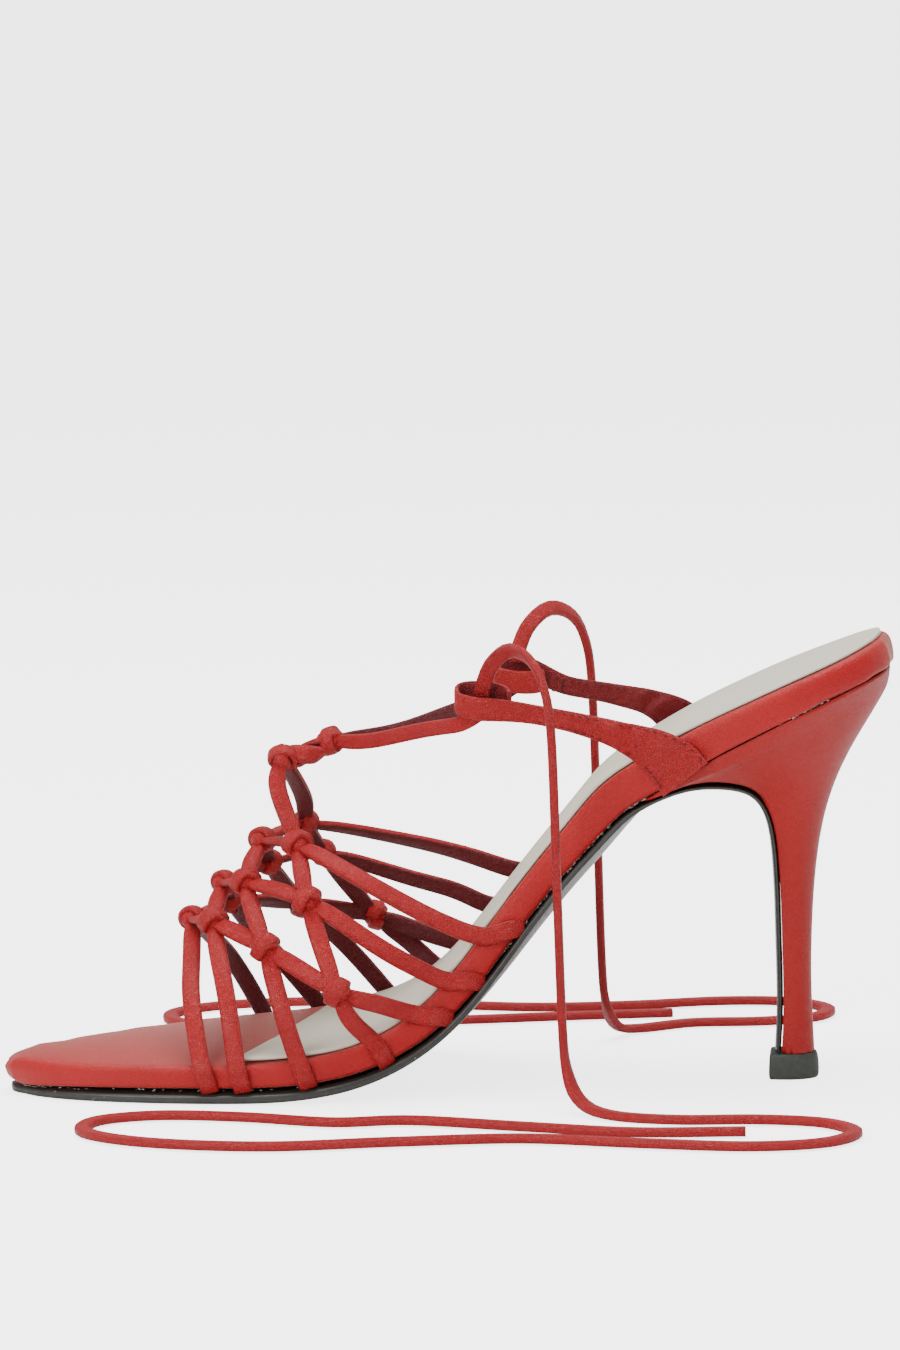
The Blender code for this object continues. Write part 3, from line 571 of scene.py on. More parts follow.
# %% [markdown]
# ## Smooth copies of the firm pieces
# Footbed, sock, sole, heel and top piece already have the right shape, but their faces are flat. A copy of
# such a node is merged, its triangles are joined back into quads, its sharp edges are creased, and a
# Subdivision Surface rounds the rest. Padding lifts the middle of the footbed's toe a little. The CAD node
# itself isn't touched.

# %% Smooth copies
SEAM_FILL = 0.00012        # leather and glue fill most of the gap that the solids keep
MERGE_DISTANCE = 0.00001
ROUNDING_LEVELS = 2
QUAD_FACE_ANGLE = radians(40)
QUAD_SHAPE_ANGLE = radians(60)
TOE_DOME = 0.0010          # padding lifts the middle of the toe's top face this much
TOE_EDGE_DROP = 0.0009     # and its edges are rolled down this much
TOE_DOME_END = 0.030
TOE_DOME_FADE = 0.020
TOE_WINDOW = 0.004         # places this near along the shoe count as one section
TOE_SLICES = (-0.024, -0.017, -0.010, -0.003, 0.004, 0.011, 0.018, 0.025)
TIP_ROLL = 0.0060          # the tip is rounded over this length
TIP_ROUNDING = 0.50
TIP_PUSH = 0.0010          # and its middle goes this much further


def dome_toe(work):
    # The flat top face is sliced lengthwise, its middle rises to a soft dome and its edges roll down.
    for y in TOE_SLICES:
        bmesh.ops.bisect_plane(work, geom=work.verts[:] + work.edges[:] + work.faces[:],
                               dist=MERGE_DISTANCE, plane_co=(0, y, 0), plane_no=(0, 1, 0))
    toe = [vert for vert in work.verts if vert.co.x < TOE_DOME_END]
    places = {vert: vert.co.copy() for vert in work.verts}
    tip = min(place.x for place in places.values())
    for vert in toe:
        here = places[vert]
        near = [place for place in places.values() if abs(place.x - here.x) < TOE_WINDOW]
        low, high = min(place.y for place in near), max(place.y for place in near)
        bottom, top = min(place.z for place in near), max(place.z for place in near)
        middle = (bottom + top) / 2
        upper = min(max((here.z - middle) / (top - middle), 0.0), 1.0)
        share = (here.y - low) / (high - low)
        bow = 4 * share * (1 - share)
        fade = min((TOE_DOME_END - here.x) / TOE_DOME_FADE, 1.0)
        vert.co.z += (TOE_DOME * bow - TOE_EDGE_DROP * (1 - bow)) * fade * upper
        ahead = 1 - (here.x - tip) / TIP_ROLL
        if ahead > 0:
            vert.co.z = middle + (vert.co.z - middle) * (1 - TIP_ROUNDING * ahead * ahead)
            vert.co.x -= TIP_PUSH * ahead * bow


def smooth_copy(name, node, material, crease_angle, crease):
    work = bmesh.new()
    work.from_mesh(bpy.data.objects[node].data)
    bmesh.ops.remove_doubles(work, verts=work.verts, dist=MERGE_DISTANCE)
    bmesh.ops.join_triangles(work, faces=work.faces, angle_face_threshold=QUAD_FACE_ANGLE,
                             angle_shape_threshold=QUAD_SHAPE_ANGLE, cmp_seam=False, cmp_sharp=False,
                             cmp_uvs=False, cmp_vcols=False, cmp_materials=False)
    work.normal_update()
    for vert, way in [(vert, vert.normal.copy()) for vert in work.verts]:
        vert.co += way * SEAM_FILL
    if node == "footbed":
        dome_toe(work)
    layer = work.edges.layers.float.get("crease_edge") or work.edges.layers.float.new("crease_edge")
    for edge in work.edges:
        if edge.is_manifold and edge.calc_face_angle(0.0) > radians(crease_angle):
            edge[layer] = crease
    piece = finish_piece(name, work, material, [node])
    rounding = piece.modifiers.new("rounding", "SUBSURF")
    rounding.levels = ROUNDING_LEVELS
    rounding.render_levels = ROUNDING_LEVELS
    return piece


smooth_copy("footbed_leather", "footbed", rand_red, 80, 0.0)
smooth_copy("sock", "insole", sock_grey, 50, 0.8)
smooth_copy("unit_sole", "outsole", sole_black, 60, 0.5)
smooth_copy("heel_cover", "heel", heel_red, 50, 0.9)
smooth_copy("top_piece", "heel_tip", tip_black, 50, 0.8)

# %% [markdown]
# ## The sole's measures
# The straps start on the side of the footbed, so its sections are needed here as well. The table is the one
# that the solids were lofted from: shares of length, height, width and board, one row for each section.

# %% Sections of the footbed
LENGTH = 0.2206
TOE_AHEAD = 0.0485
BALL_WIDTH = 0.076
SEAT_HEIGHT = 0.1124
BOARD = 0.0068
RAND_BULGE = 0.0009
INSTEP_HEIGHT = 0.0875
# Straps face away from a line in the foot, CORE_SHARE of the way from the footbed up to CORE_HEIGHT.
CORE_HEIGHT = 0.55 * INSTEP_HEIGHT
CORE_SHARE = 0.35
CORE_RISE_LEAST = 0.004
SECTION_STEP = 0.05
EDGE_STEP = 0.2
# The side of the footbed: how far inward, as shares of its bulge, at which share of the board's depth.
SIDE_PROFILE = ((1.0, 1.0), (0.35, 0.80), (0.0, 0.45), (0.2, 0.18), (0.9, 0.035), (2.0, 0.0))
SECTION_COLUMNS = ("along", "height", "medial", "lateral", "board")
SECTIONS = (
    (0.000, 0.077, -0.284, -0.213, 0.93),
    (0.007, 0.079, -0.318, -0.174, 0.96),
    (0.026, 0.084, -0.361, -0.113, 1.00),
    (0.059, 0.087, -0.411, -0.007, 1.00),
    (0.102, 0.090, -0.451, 0.118, 1.00),
    (0.154, 0.091, -0.476, 0.257, 1.00),
    (0.209, 0.091, -0.486, 0.382, 1.00),
    (0.265, 0.091, -0.487, 0.474, 1.00),
    (0.322, 0.094, -0.482, 0.517, 1.00),
    (0.376, 0.108, -0.461, 0.513, 1.00),
    (0.426, 0.139, -0.421, 0.471, 1.00),
    (0.474, 0.198, -0.375, 0.408, 1.00),
    (0.516, 0.286, -0.332, 0.350, 1.02),
    (0.558, 0.395, -0.297, 0.305, 1.02),
    (0.598, 0.497, -0.276, 0.279, 1.04),
    (0.639, 0.594, -0.271, 0.271, 1.13),
    (0.679, 0.687, -0.282, 0.282, 1.28),
    (0.728, 0.751, -0.311, 0.311, 1.34),
    (0.786, 0.815, -0.337, 0.337, 1.22),
    (0.843, 0.868, -0.345, 0.345, 1.15),
    (0.893, 0.912, -0.332, 0.332, 1.10),
    (0.941, 0.951, -0.289, 0.289, 1.06),
    (0.974, 0.980, -0.218, 0.218, 1.04),
    (0.993, 0.996, -0.129, 0.129, 1.03),
    (1.000, 1.000, -0.034, 0.034, 1.03),
)


def section(name, t):
    k = SECTION_COLUMNS.index(name)
    return curve_value([row[k] for row in SECTIONS], t)


def top_point(t):
    return Vector((section("along", t) * LENGTH - TOE_AHEAD, 0.0, section("height", t) * SEAT_HEIGHT))


def top_frame(t):
    ahead = top_point(min(t + SECTION_STEP, len(SECTIONS) - 1))
    behind = top_point(max(t - SECTION_STEP, 0))
    along = (ahead - behind).normalized()
    return top_point(t), along, Vector((-along.z, 0.0, along.x))


def edge(t, side):
    return section("medial" if side == MEDIAL else "lateral", t) * BALL_WIDTH


def edge_outward(t, side):
    ahead = min(t + EDGE_STEP, len(SECTIONS) - 1)
    behind = max(t - EDGE_STEP, 0)
    run = (top_point(ahead) - top_point(behind)).length
    spread = side * (edge(ahead, side) - edge(behind, side))
    return (Vector((0, side * run, 0)) - top_frame(t)[1] * spread).normalized()


def rand_point(t, side, depth, stand_off):
    # Beside the footbed: depth is a share of the board, and stand_off the distance from its side.
    inward = SIDE_PROFILE[-1][0]
    for low, high in zip(SIDE_PROFILE, SIDE_PROFILE[1:]):
        if high[1] <= depth <= low[1]:
            inward = low[0] + (high[0] - low[0]) * (low[1] - depth) / (low[1] - high[1])
    spot = top_point(t) + Vector((0, edge(t, side), 0))
    away = edge_outward(t, side) * (stand_off - inward * RAND_BULGE)
    return spot + away - top_frame(t)[2] * depth * section("board", t) * BOARD


def row_at(x):
    t = 0.0
    while t < len(SECTIONS) - 1 and top_point(t).x < x:
        t += SECTION_STEP
    return t


def outward(spot):
    floor = top_point(row_at(spot.x)).z
    core = floor + CORE_SHARE * max(CORE_HEIGHT - floor, CORE_RISE_LEAST)
    return Vector((0.0, spot.y, max(spot.z - core, 0.002))).normalized()


print("the footbed has", len(SECTIONS), "sections")

# %% [markdown]
# ## The net of straps
# Seven straps on each side run from the middle of the foot to the sole. Where two meet they are knotted. A
# strap narrows as it goes into a knot, and its end is skived thin and tucked into the seam of the sole.

# %% Straps
STRAP_WIDTH = 0.0046
STRAP_THICKNESS = 0.0021
STRAP_STEPS = 12
STRAP_ROUNDS = 14
FACING_ROUNDS = 40
KNOT_NARROWING = 0.30
KNOT_REACH = 0.0042
# Knots: along, across and up, as shares of LENGTH from the toe, BALL_WIDTH and INSTEP_HEIGHT.
KNOTS = (
    ("front", 0.204, 0.000, 0.457),
    ("middle", 0.241, 0.000, 0.561),
    ("rear", 0.286, 0.000, 0.687),
    ("medial_a", 0.235, -0.184, 0.478),
    ("medial_b", 0.300, -0.368, 0.432),
    ("medial_c", 0.384, -0.487, 0.323),
    ("medial_d", 0.272, -0.164, 0.590),
    ("medial_e", 0.347, -0.342, 0.563),
    ("medial_f", 0.332, -0.184, 0.702),
    ("lateral_a", 0.241, 0.184, 0.486),
    ("lateral_b", 0.315, 0.388, 0.447),
    ("lateral_c", 0.400, 0.500, 0.395),
    ("lateral_d", 0.288, 0.164, 0.598),
    ("lateral_e", 0.344, 0.353, 0.601),
    ("lateral_f", 0.330, 0.191, 0.712),
    ("throat_low", 0.312, -0.039, 0.934),
    ("throat_high", 0.365, 0.026, 0.974),
)

# Names are knots, and rows of three numbers are places between them in the same shares. The last pair is
# where the strap crosses the top edge of the footbed and where it ends, as rows of SECTIONS.
MEDIAL_STRAPS = (
    (("front", (0.210, -0.197, 0.373), (0.215, -0.355, 0.279)), (6.38, 6.55)),
    (("middle", "medial_a", (0.258, -0.421, 0.293)), (7.08, 7.20)),
    (("rear", "medial_d", "medial_b", (0.323, -0.474, 0.253)), (8.30, 8.45)),
    (("throat_low", (0.307, -0.105, 0.857), "medial_f", "medial_e",
      "medial_c", (0.400, -0.493, 0.240)), (9.88, 9.98)),
    (("front", "medial_a", "medial_b", "medial_c", (0.428, -0.467, 0.286)), (10.83, 11.30)),
    (("middle", "medial_d", "medial_e", (0.430, -0.395, 0.434), (0.480, -0.368, 0.360)), (11.69, 12.08)),
    (("rear", "medial_f", (0.401, -0.316, 0.629), (0.479, -0.342, 0.523)), (12.60, 13.13)),
)
LATERAL_STRAPS = (
    (("front", (0.214, 0.197, 0.389), (0.235, 0.368, 0.286)), (7.00, 7.18)),
    (("middle", "lateral_a", (0.279, 0.421, 0.309)), (8.15, 8.35)),
    (("rear", "lateral_d", "lateral_b", (0.363, 0.507, 0.309)), (9.70, 9.85)),
    (("throat_low", (0.331, 0.105, 0.800), "lateral_f", "lateral_e",
      "lateral_c", (0.437, 0.500, 0.320)), (10.96, 11.10)),
    (("front", "lateral_a", "lateral_b", "lateral_c", (0.451, 0.467, 0.354)), (11.65, 12.05)),
    (("middle", "lateral_d", "lateral_e", (0.442, 0.395, 0.523), (0.497, 0.355, 0.491)), (12.55, 13.00)),
    (("rear", "lateral_f", (0.447, 0.329, 0.642), (0.514, 0.321, 0.600)), (13.33, 13.80)),
)


def net_point(along, across, up):
    return Vector((along * LENGTH - TOE_AHEAD, across * BALL_WIDTH, up * INSTEP_HEIGHT))


KNOT_PLACES = {name: net_point(along, across, up) for name, along, across, up in KNOTS}


def strap_widths(path, knots, width):
    # A strap is drawn together where it enters a knot.
    widths = []
    for spot in path:
        nearest = min((spot - knot).length for knot in knots)
        widths.append(width * (1.0 - KNOT_NARROWING * exp(-(nearest / KNOT_REACH) ** 2)))
    return widths


# Down the side of the footbed: depth as a share of the board, the share of the way from the top row to the
# end row, a rise above that place and the distance of the strap's middle from the side. The end tucks into
# the seam.
STRAP_END = (
    (0.05, 0.00, 0.0008, 0.0016),
    (0.55, 0.60, 0.0000, 0.0014),
    (1.06, 1.00, 0.0000, 0.0008),
)
END_THIN = 0.55            # the end is skived to this share of the strap's thickness


def strap_line(names, ends, side):
    points = []
    facing = []
    for item in names:
        spot = KNOT_PLACES[item] if isinstance(item, str) else net_point(*item)
        points.append(spot)
        facing.append(outward(spot))
    top_row, end_row = ends
    for depth, share, rise, stand_off in STRAP_END:
        t = top_row + (end_row - top_row) * share
        points.append(rand_point(t, side, depth, stand_off) + top_frame(t)[2] * rise)
        facing.append(edge_outward(t, side))
    return points, facing


def add_strap(work, names, ends, side):
    points, facing = strap_line(names, ends, side)
    steps = STRAP_STEPS
    path = relaxed(smooth_path(points, steps), STRAP_ROUNDS)
    normals = [normal.normalized() for normal in relaxed(smooth_path(facing, steps), FACING_ROUNDS)]
    widths = strap_widths(path, KNOT_PLACES.values(), STRAP_WIDTH)
    last = len(path) - 1
    skived = [1 - (1 - END_THIN) * min(max((k - last) / (2 * steps) + 1, 0), 1) for k in range(last + 1)]
    sweep_band(work, path, normals, widths, [STRAP_THICKNESS * share for share in skived])
    return {item: (path[k * steps + 1] - path[max(k * steps - 1, 0)]).normalized()
            for k, item in enumerate(names) if isinstance(item, str)}


net = bmesh.new()
ways = {name: [] for name in KNOT_PLACES}
for side, straps in ((MEDIAL, MEDIAL_STRAPS), (LATERAL, LATERAL_STRAPS)):
    for names, ends in straps:
        for name, way in add_strap(net, names, ends, side).items():
            ways[name].append(way)
print("straps:", len(MEDIAL_STRAPS) + len(LATERAL_STRAPS), "with", len(net.faces), "faces")

# %% [markdown]
# A knot is drawn as a maker ties it. One strap is laid round the other and pulled tight, so what shows is a
# short band over the crossing with its ends going under. Two such bands at an angle, round a small core,
# give the knot its rounded form.

# %% Knots
KNOT_HALF_WIDTH = 0.0031
KNOT_HALF_HEIGHT = 0.0025
WRAP_WIDTH = 0.0036
WRAP_THICKNESS = 0.0017
WRAP_STEPS = 30
WRAP_SLIP = 0.0016         # how far the ends of a wrap lie apart
CORE = (0.0032, 0.0029, 0.0025)
KNOT_LIFT = 0.0003
SECOND_LIFT = 0.0004
SECOND_SCALE = 0.86
SAME_WAY = 0.93            # two straps that run this much alike get their second wrap turned aside
TURNED_ASIDE = radians(60)


def knot_axes(axis, normal):
    # The same axis laid into the plane across the normal, and the way across it.
    axis = (axis - normal * axis.dot(normal)).normalized()
    return axis, axis.cross(normal).normalized()


def add_wrap(work, centre, axis, normal, scale=1.0):
    # A band once round the bundle. Its ends lie inside, on the side that faces the foot.
    axis, across = knot_axes(axis, normal)
    count = WRAP_STEPS
    path = []
    normals = []
    for k in range(count + 1):
        angle = -pi / 2 + 2 * pi * k / count
        slip = (k / count - 0.5) * WRAP_SLIP
        out = across * cos(angle) * KNOT_HALF_WIDTH * scale + normal * sin(angle) * KNOT_HALF_HEIGHT * scale
        path.append(centre + out + axis * slip)
        normals.append(out.normalized())
    sweep_band(work, path, normals, [WRAP_WIDTH * scale] * (count + 1), [WRAP_THICKNESS] * (count + 1))


def add_core(work, centre, axis, normal):
    # What the wraps are pulled tight round: the bundle of both straps.
    axis, across = knot_axes(axis, normal)
    ball = bmesh.ops.create_uvsphere(work, u_segments=16, v_segments=10, radius=1.0)["verts"]
    bmesh.ops.scale(work, vec=CORE, verts=ball)
    bmesh.ops.rotate(work, cent=(0, 0, 0), matrix=Matrix((axis, across, normal)).transposed(), verts=ball)
    bmesh.ops.translate(work, vec=centre, verts=ball)


def add_knot(work, name):
    normal = outward(KNOT_PLACES[name])
    centre = KNOT_PLACES[name] + normal * KNOT_LIFT
    first = ways[name][0]
    second = ways[name][-1]
    if abs(first.dot(second)) > SAME_WAY:
        second = Matrix.Rotation(TURNED_ASIDE, 3, normal) @ first
    add_core(work, centre, second, normal)
    add_wrap(work, centre, second, normal)
    add_wrap(work, centre + normal * SECOND_LIFT, first, normal, SECOND_SCALE)


for name in KNOT_PLACES:
    if not name.startswith("throat"):
        add_knot(net, name)
print("knots:", len(KNOT_PLACES) - 2, "of the net")

# %% [markdown]
# ## The throat
# The two highest straps meet above the instep. They are knotted, twisted together over a short stretch,
# knotted again, and part towards the two loops. The twist is two thin bands winding round each other.

# %% The throat
LOOP_LENGTH = 0.0126
EAR_WIDTH = 0.0056
EAR_THICKNESS = 0.0016
LOOP_WIDTH = 0.0060
LOOP_LEAN = 0.0034
LOOP_TILT = 0.09
LOOP_SQUARENESS = 0.7
LOOP_AHEAD = 0.0002
LOOP_UP = 0.0006
LATERAL_EAR_BACK = 0.029     # the far stay ends this much further back
LATERAL_EAR_RISE = 0.011     # and this much higher, as shares
# Stay straps from the seat to the loop: along, across, up and width, as shares.
EAR_ROWS = (
    (0.773, 0.353, 0.705, 2.50),
    (0.759, 0.354, 0.740, 2.35),
    (0.736, 0.353, 0.772, 1.90),
    (0.698, 0.334, 0.802, 1.25),
    (0.657, 0.313, 0.824, 0.97),
    (0.617, 0.295, 0.840, 0.87),
    (0.576, 0.282, 0.853, 0.87),
)
# Throat straps into the loops: how far before, inward of and below the middle of the loop, in loop lengths.
THROAT_ROWS = (
    (2.44, 1.37, 0.88),
    (1.70, 0.92, 0.64),
    (0.85, 0.29, 0.40),
    (0.52, 0.04, 0.36),
    (0.24, 0.00, 0.22),
    (-0.06, 0.00, 0.00),
)
THROAT_STEPS = 10
THROAT_ROUNDS = 60
THROAT_WIDTH = STRAP_WIDTH * 0.86
TWIST_STEPS = 36
TWIST_TURN = pi * 1.15
TWIST_RADIUS = 0.0013
TWIST_ARCH = 0.0012
TWIST_WIDTH = 0.0048
TWIST_THICKNESS = 0.0024
THROAT_FACING = Vector((-0.35, -0.55, 0.75)).normalized()
THROAT_KNOTS = (("throat_low", 1.1), ("throat_high", -0.5))
THROAT_SECOND_TURN = -1.2
THROAT_SECOND_SCALE = 0.9


def ear_points(side):
    back = LATERAL_EAR_BACK if side == LATERAL else 0.0
    rise = LATERAL_EAR_RISE if side == LATERAL else 0.0
    points = []
    for k, (along, across, up, _) in enumerate(EAR_ROWS):
        free = min(k / 3, 1.0)
        points.append(Vector(((along + back * free) * LENGTH - TOE_AHEAD, side * across * BALL_WIDTH,
                              (up + rise * free) * SEAT_HEIGHT)))
    return points


def loop_mouth(side):
    return ear_points(side)[-1] + Vector((-LOOP_LENGTH / 2 - LOOP_AHEAD, 0, LOOP_UP))


def add_throat_strap(work, side):
    mouth = loop_mouth(side)
    points = [KNOT_PLACES["throat_high"]]
    for back, inward, drop in THROAT_ROWS:
        points.append(mouth - Vector((back * LOOP_LENGTH, side * inward * LOOP_LENGTH, drop * LOOP_LENGTH)))
    path = relaxed(smooth_path(points, THROAT_STEPS), THROAT_ROUNDS)
    normals = [Vector((0, side, 0))] * len(path)
    widths = strap_widths(path, [KNOT_PLACES["throat_high"]], THROAT_WIDTH)
    sweep_band(work, path, normals, widths, [STRAP_THICKNESS] * len(path))


def add_twist(work):
    start = KNOT_PLACES["throat_low"]
    end = KNOT_PLACES["throat_high"]
    along = (end - start).normalized()
    up = along.cross(Vector((0, 1, 0))).normalized() * -1
    aside = along.cross(up).normalized()
    count = TWIST_STEPS
    for turn in (0.0, pi):
        path = []
        normals = []
        for k in range(count + 1):
            share = k / count
            angle = turn + TWIST_TURN * share
            out = up * cos(angle) + aside * sin(angle)
            path.append(start.lerp(end, share) + out * TWIST_RADIUS + up * TWIST_ARCH * sin(pi * share))
            normals.append(out)
        sweep_band(work, path, normals, [TWIST_WIDTH] * (count + 1), [TWIST_THICKNESS] * (count + 1))


for side in (MEDIAL, LATERAL):
    add_throat_strap(net, side)
add_twist(net)
throat_way = (KNOT_PLACES["throat_high"] - KNOT_PLACES["throat_low"]).normalized()
for name, turn in THROAT_KNOTS:
    tilted = Matrix.Rotation(turn, 3, THROAT_FACING) @ throat_way
    crossing = Matrix.Rotation(THROAT_SECOND_TURN, 3, THROAT_FACING) @ tilted
    add_core(net, KNOT_PLACES[name], tilted, THROAT_FACING)
    add_wrap(net, KNOT_PLACES[name], tilted, THROAT_FACING)
    add_wrap(net, KNOT_PLACES[name], crossing, THROAT_FACING, THROAT_SECOND_SCALE)
finish_piece("net_of_straps", net, strap_red, ["upper"])

# %% [markdown]
# ## The stays and their loops
# A stay starts between the side of the footbed and the heel, narrows as it rises, and is folded back on
# itself at the front, where it makes the loop. A row of stitches runs along both edges and across behind
# the loop.

# %% Stays
STAY_STEPS = 14
LOOP_STEPS = 52
LOOP_START = 40              # degrees round the loop where the outer leaf begins
LOOP_SWEEP = 312
LOOP_BAND_WIDTH = EAR_WIDTH * 1.04
LEFT_OUT = 4                 # last places of the stay that give way to the loop
BLEND_PLACES = 10
BLEND_ROUNDS = 30


def stay_line(side):
    path = smooth_path(ear_points(side), STAY_STEPS)
    shares = [width for *_, width in EAR_ROWS]
    widths = [curve_value(shares, k / STAY_STEPS) * EAR_WIDTH for k in range(len(path))]
    return path, widths


def loop_place(side, turn):
    # A place on the loop and its outward way. turn goes from 0 at the back over the outer leaf to 2 pi.
    angle = side * turn
    squeeze = abs(sin(angle)) ** LOOP_SQUARENESS * (1 if sin(angle) > 0 else -1)
    x = cos(angle) * LOOP_LENGTH / 2
    lean = LOOP_LEAN * (1 + squeeze) / 2
    place = loop_mouth(side) + Vector((x, squeeze * LOOP_WIDTH / 2, lean - LOOP_TILT * x))
    return place, Vector((cos(angle), sin(angle), 0.0))


def folded_stay(side):
    # One band: up the stay, along the outer leaf, round the front and back along the inner leaf.
    path, widths = stay_line(side)
    path = path[:-LEFT_OUT]
    widths = widths[:-LEFT_OUT]
    normals = [Vector((0, side, 0))] * len(path)
    blend = slice(len(path) - BLEND_PLACES, len(path) + BLEND_PLACES)
    for k in range(LOOP_STEPS + 1):
        place, way = loop_place(side, radians(LOOP_START + LOOP_SWEEP * k / LOOP_STEPS))
        path.append(place)
        normals.append(way)
        widths.append(LOOP_BAND_WIDTH)
    for values in (path, normals, widths):
        values[blend] = relaxed(values[blend], BLEND_ROUNDS)
    return path, normals, widths


# Creases where the stay bends over the foot: run along it, place across it, slant, length and depth.
CREASES = (
    (0.0150, -0.10, 0.9, 0.0075, 0.00080),
    (0.0180, 0.15, 1.1, 0.0060, -0.00055),
    (0.0205, -0.25, 0.8, 0.0065, 0.00065),
    (0.0235, 0.20, 1.2, 0.0050, 0.00045),
    (0.0060, 0.45, 0.5, 0.0070, 0.00045),
)
CREASE_HALF_WIDTH = 0.0010
CREASES_END = 0.032
STAY_CORNERS = 40


def press_creases(work, widths, path):
    # Soft troughs and ridges: the leather moves in or out, most along the crease's own line.
    run_layer, side_layer, _ = add_band_layers(work)
    work.normal_update()
    root = [vert for vert in work.verts if vert[run_layer] < CREASES_END]
    spacing = (path[1] - path[0]).length
    for vert in root:
        place = min(int(vert[run_layer] / spacing), len(widths) - 1)
        for run, side, slant, reach, depth in CREASES:
            ahead = vert[run_layer] - run
            aside = (vert[side_layer] - side) * widths[place] / 2
            along = ahead * cos(slant) + aside * sin(slant)
            off = aside * cos(slant) - ahead * sin(slant)
            press = exp(-(off / CREASE_HALF_WIDTH) ** 2 - (along / reach * 2) ** 2)
            vert.co -= Vector((0, 1, 0)) * depth * press * (1 if vert.normal.y > 0 else -1)


def make_stay(name, node, side):
    work = bmesh.new()
    path, normals, widths = folded_stay(side)
    sweep_band(work, path, normals, widths, [EAR_THICKNESS] * len(path), STAY_CORNERS)
    press_creases(work, widths, path)
    return finish_piece(name, work, stay_red, [node])


make_stay("stay_near", "ear_medial", MEDIAL)
make_stay("stay_far", "ear_lateral", LATERAL)

# %% [markdown]
# A stitch is a small round bead of thread, half sunk in the leather. One bead is an icosphere stretched
# along the seam, and the seam repeats it at an even step.

# %% Stitches
STITCH_STEP = 0.0018
STITCH_LENGTH = 0.0012
STITCH_RADIUS = 0.00021
STITCH_INSET = 0.00085
STITCH_LIFT = EAR_THICKNESS * 0.44
CROSS_ROW_BEHIND = 8         # places before the end of the stay
CROSS_ROW = (-0.6, -0.2, 0.2, 0.6)


def add_bead(work, spot, along, out, length=STITCH_LENGTH, radius=STITCH_RADIUS):
    bead = bmesh.ops.create_icosphere(work, subdivisions=1, radius=1.0)["verts"]
    across = along.cross(out).normalized()
    turn = Matrix((along, across, out)).transposed()
    bmesh.ops.scale(work, vec=(length / 2, radius, radius), verts=bead)
    bmesh.ops.rotate(work, cent=(0, 0, 0), matrix=turn, verts=bead)
    bmesh.ops.translate(work, vec=spot, verts=bead)


def add_edge_row(work, side, face, rim):
    # One row along an edge of the stay, on its outer or inner face.
    path, widths = stay_line(side)
    walked = 0.0
    for k in range(1, len(path) - 1):
        walked += (path[k] - path[k - 1]).length
        if walked < STITCH_STEP:
            continue
        walked = 0.0
        along = (path[k + 1] - path[k - 1]).normalized()
        across = along.cross(Vector((0, side, 0))).normalized()
        out = across.cross(along).normalized() * face
        spot = path[k] + across * rim * (widths[k] / 2 - STITCH_INSET) + out * STITCH_LIFT
        add_bead(work, spot, along, out)


def add_cross_row(work, side):
    # The short row that closes the loop behind.
    path, widths = stay_line(side)
    behind = len(path) - CROSS_ROW_BEHIND
    along = (path[behind + 1] - path[behind - 1]).normalized()
    upward = along.cross(Vector((0, side, 0))).normalized()
    for share in CROSS_ROW:
        for face in (1, -1):
            out = Vector((0, side * face, 0))
            spot = path[behind] + upward * share * widths[behind] / 2 + out * STITCH_LIFT
            add_bead(work, spot, upward, out)


def make_stitches(name, side):
    work = bmesh.new()
    for face in (1, -1):
        for rim in (1, -1):
            add_edge_row(work, side, face, rim)
    add_cross_row(work, side)
    return finish_piece(name, work, thread_red)


make_stitches("stitches_near", MEDIAL)
make_stitches("stitches_far", LATERAL)

# %% [markdown]
# ## Crumbs along the seams
# Where the sole is glued on, and where the leather is rubbed at the heel's edge, small pale crumbs show.
# They are flattened beads like the stitches, strewn along four stretches of seam with a fixed seed.

# %% Crumbs
CRUMB_COLOUR = (0.42, 0.36, 0.31, 1.0)
CRUMB_SEED = 7
CRUMB_TURN = 0.5
CRUMB_DEPTH = -0.00002       # sunk this much into the seam
CRUMB_STRAY = 0.0002
CRUMB_LENGTHS = (0.0003, 0.0011)
CRUMB_RADII = (0.00006, 0.00016)
# The stretches of seam: first and last row of SECTIONS, depth on the side as a share of the board, and how
# many.
SEAM_STRETCHES = (
    (14.0, 16.6, 1.00, 46),
    (12.4, 14.0, 1.00, 16),
    (1.5, 8.5, 1.00, 34),
    (19.4, 20.6, 1.00, 18),
)


def make_crumbs():
    chance = Random(CRUMB_SEED)
    work = bmesh.new()
    for first, last, depth, count in SEAM_STRETCHES:
        for _ in range(count):
            t = chance.uniform(first, last)
            out = edge_outward(t, MEDIAL)
            turn = Matrix.Rotation(chance.uniform(-CRUMB_TURN, CRUMB_TURN), 3, out)
            along = (turn @ top_frame(t)[1]).normalized()
            stray = top_frame(t)[2] * chance.uniform(-CRUMB_STRAY, CRUMB_STRAY)
            spot = rand_point(t, MEDIAL, depth, CRUMB_DEPTH) + stray
            add_bead(work, spot, along, out, chance.uniform(*CRUMB_LENGTHS), chance.uniform(*CRUMB_RADII))
    material, shader = new_material("pale crumbs of glue", 0.7)
    shader.inputs["Base Color"].default_value = CRUMB_COLOUR
    return finish_piece("seam_crumbs", work, material)


make_crumbs()

# %% [markdown]
# ## Floor and light
# The shoe stands on a white sweep of paper: a plane whose back edge is extruded up and rounded with a
# bevel. A large soft lamp overhead and one near the camera give the even light of a catalogue photo, with a
# faint shadow under the sole. Plain white surroundings fill the rest.

# %% Floor and light
PAPER_GLOW = 3.2
PAPER_HALF = 4.0
PAPER_ROUNDING = 1.5
PAPER_WHITE = (0.93, 0.93, 0.93, 1.0)
WHITE = (1.0, 1.0, 1.0, 1.0)
SURROUNDINGS = 0.50


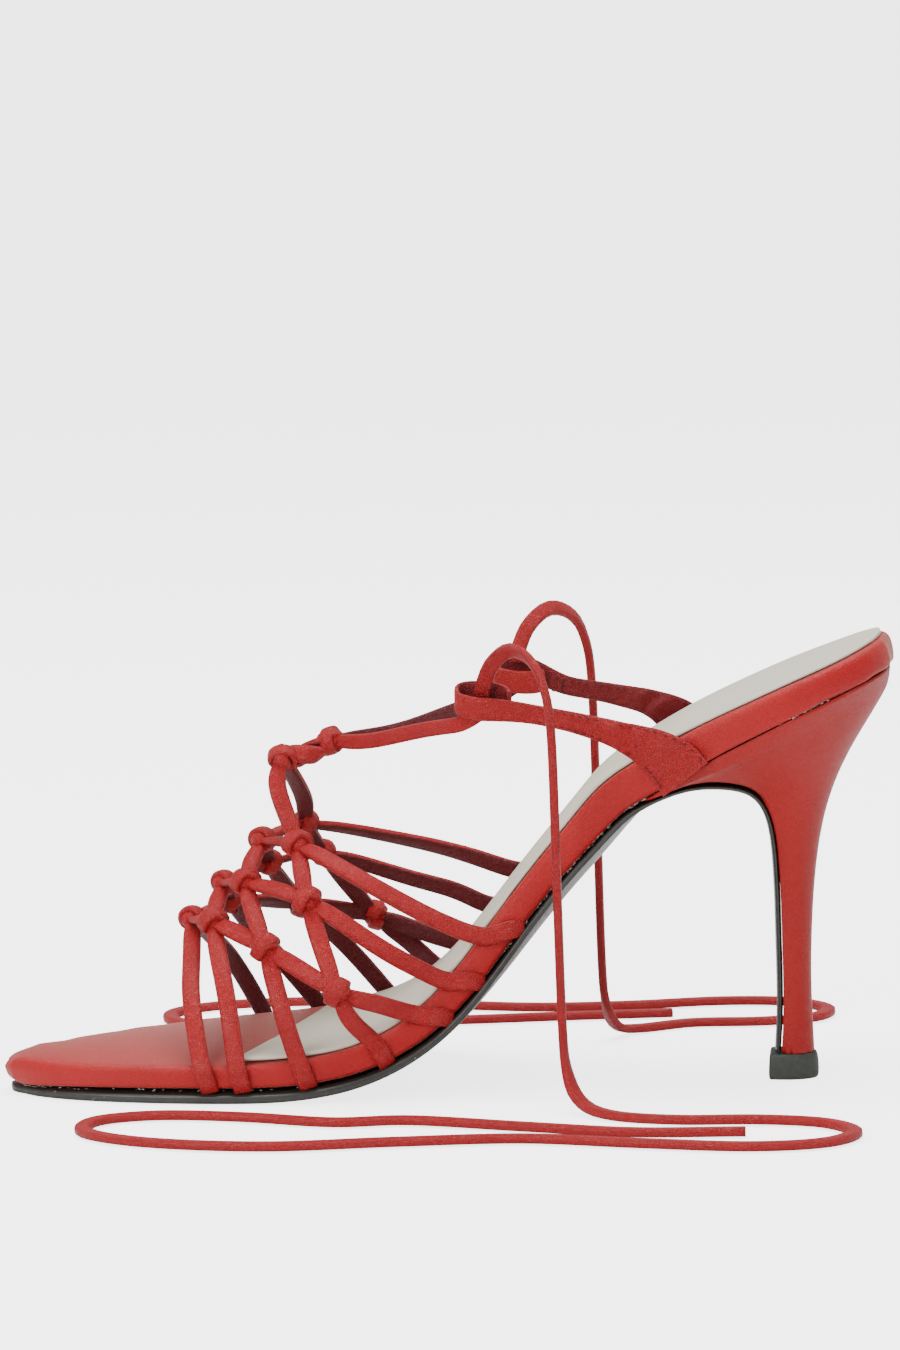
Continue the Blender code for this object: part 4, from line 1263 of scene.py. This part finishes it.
def make_backdrop():
    work = bmesh.new()
    bmesh.ops.create_grid(work, x_segments=1, y_segments=1, size=PAPER_HALF)
    back = [edge for edge in work.edges if all(vert.co.y > PAPER_HALF - 0.1 for vert in edge.verts)]
    made = bmesh.ops.extrude_edge_only(work, edges=back)["geom"]
    risen = [item for item in made if isinstance(item, bmesh.types.BMVert)]
    bmesh.ops.translate(work, vec=(0, 0, PAPER_HALF), verts=risen)
    bmesh.ops.bevel(work, geom=back, offset=PAPER_ROUNDING, segments=16, profile=0.5, affect="EDGES",
                    material=-1)
    mesh = bpy.data.meshes.new("backdrop")
    work.to_mesh(mesh)
    work.free()
    mesh.shade_smooth()
    paper = bpy.data.materials.new("white paper")
    paper.use_nodes = True
    shader = paper.node_tree.nodes["Principled BSDF"]
    shader.inputs["Base Color"].default_value = PAPER_WHITE
    shader.inputs["Roughness"].default_value = 0.9
    shader.inputs["Specular IOR Level"].default_value = 0.1
    # Seen directly, the paper is lit from behind as on a light table. It doesn't tint the shoe.
    rays = paper.node_tree.nodes.new("ShaderNodeLightPath")
    glow = sum_node(paper.node_tree, "MULTIPLY", rays.outputs["Is Camera Ray"], PAPER_GLOW)
    shader.inputs["Emission Color"].default_value = WHITE
    connect(paper.node_tree, glow, shader.inputs["Emission Strength"])
    mesh.materials.append(paper)
    backdrop = bpy.data.objects.new("backdrop", mesh)
    bpy.context.scene.collection.objects.link(backdrop)


def add_lamp(name, place, aim, size, power):
    lamp = bpy.data.lights.new(name, "AREA")
    lamp.shape = "RECTANGLE"
    lamp.size = size[0]
    lamp.size_y = size[1]
    lamp.energy = power
    holder = bpy.data.objects.new(name, lamp)
    bpy.context.scene.collection.objects.link(holder)
    holder.location = place
    holder.rotation_euler = (Vector(aim) - Vector(place)).to_track_quat("-Z", "Y").to_euler()


make_backdrop()
add_lamp("overhead softbox", (0.0, 0.1, 1.6), (0.06, 0.0, 0.0), (1.4, 1.0), 33.0)
add_lamp("front softbox", (-0.7, -1.5, 0.9), (0.06, 0.0, 0.06), (0.9, 0.7), 17.0)
surroundings = bpy.data.worlds.new("plain white")
surroundings.use_nodes = True
surroundings.node_tree.nodes["Background"].inputs["Color"].default_value = WHITE
surroundings.node_tree.nodes["Background"].inputs["Strength"].default_value = SURROUNDINGS
bpy.context.scene.world = surroundings
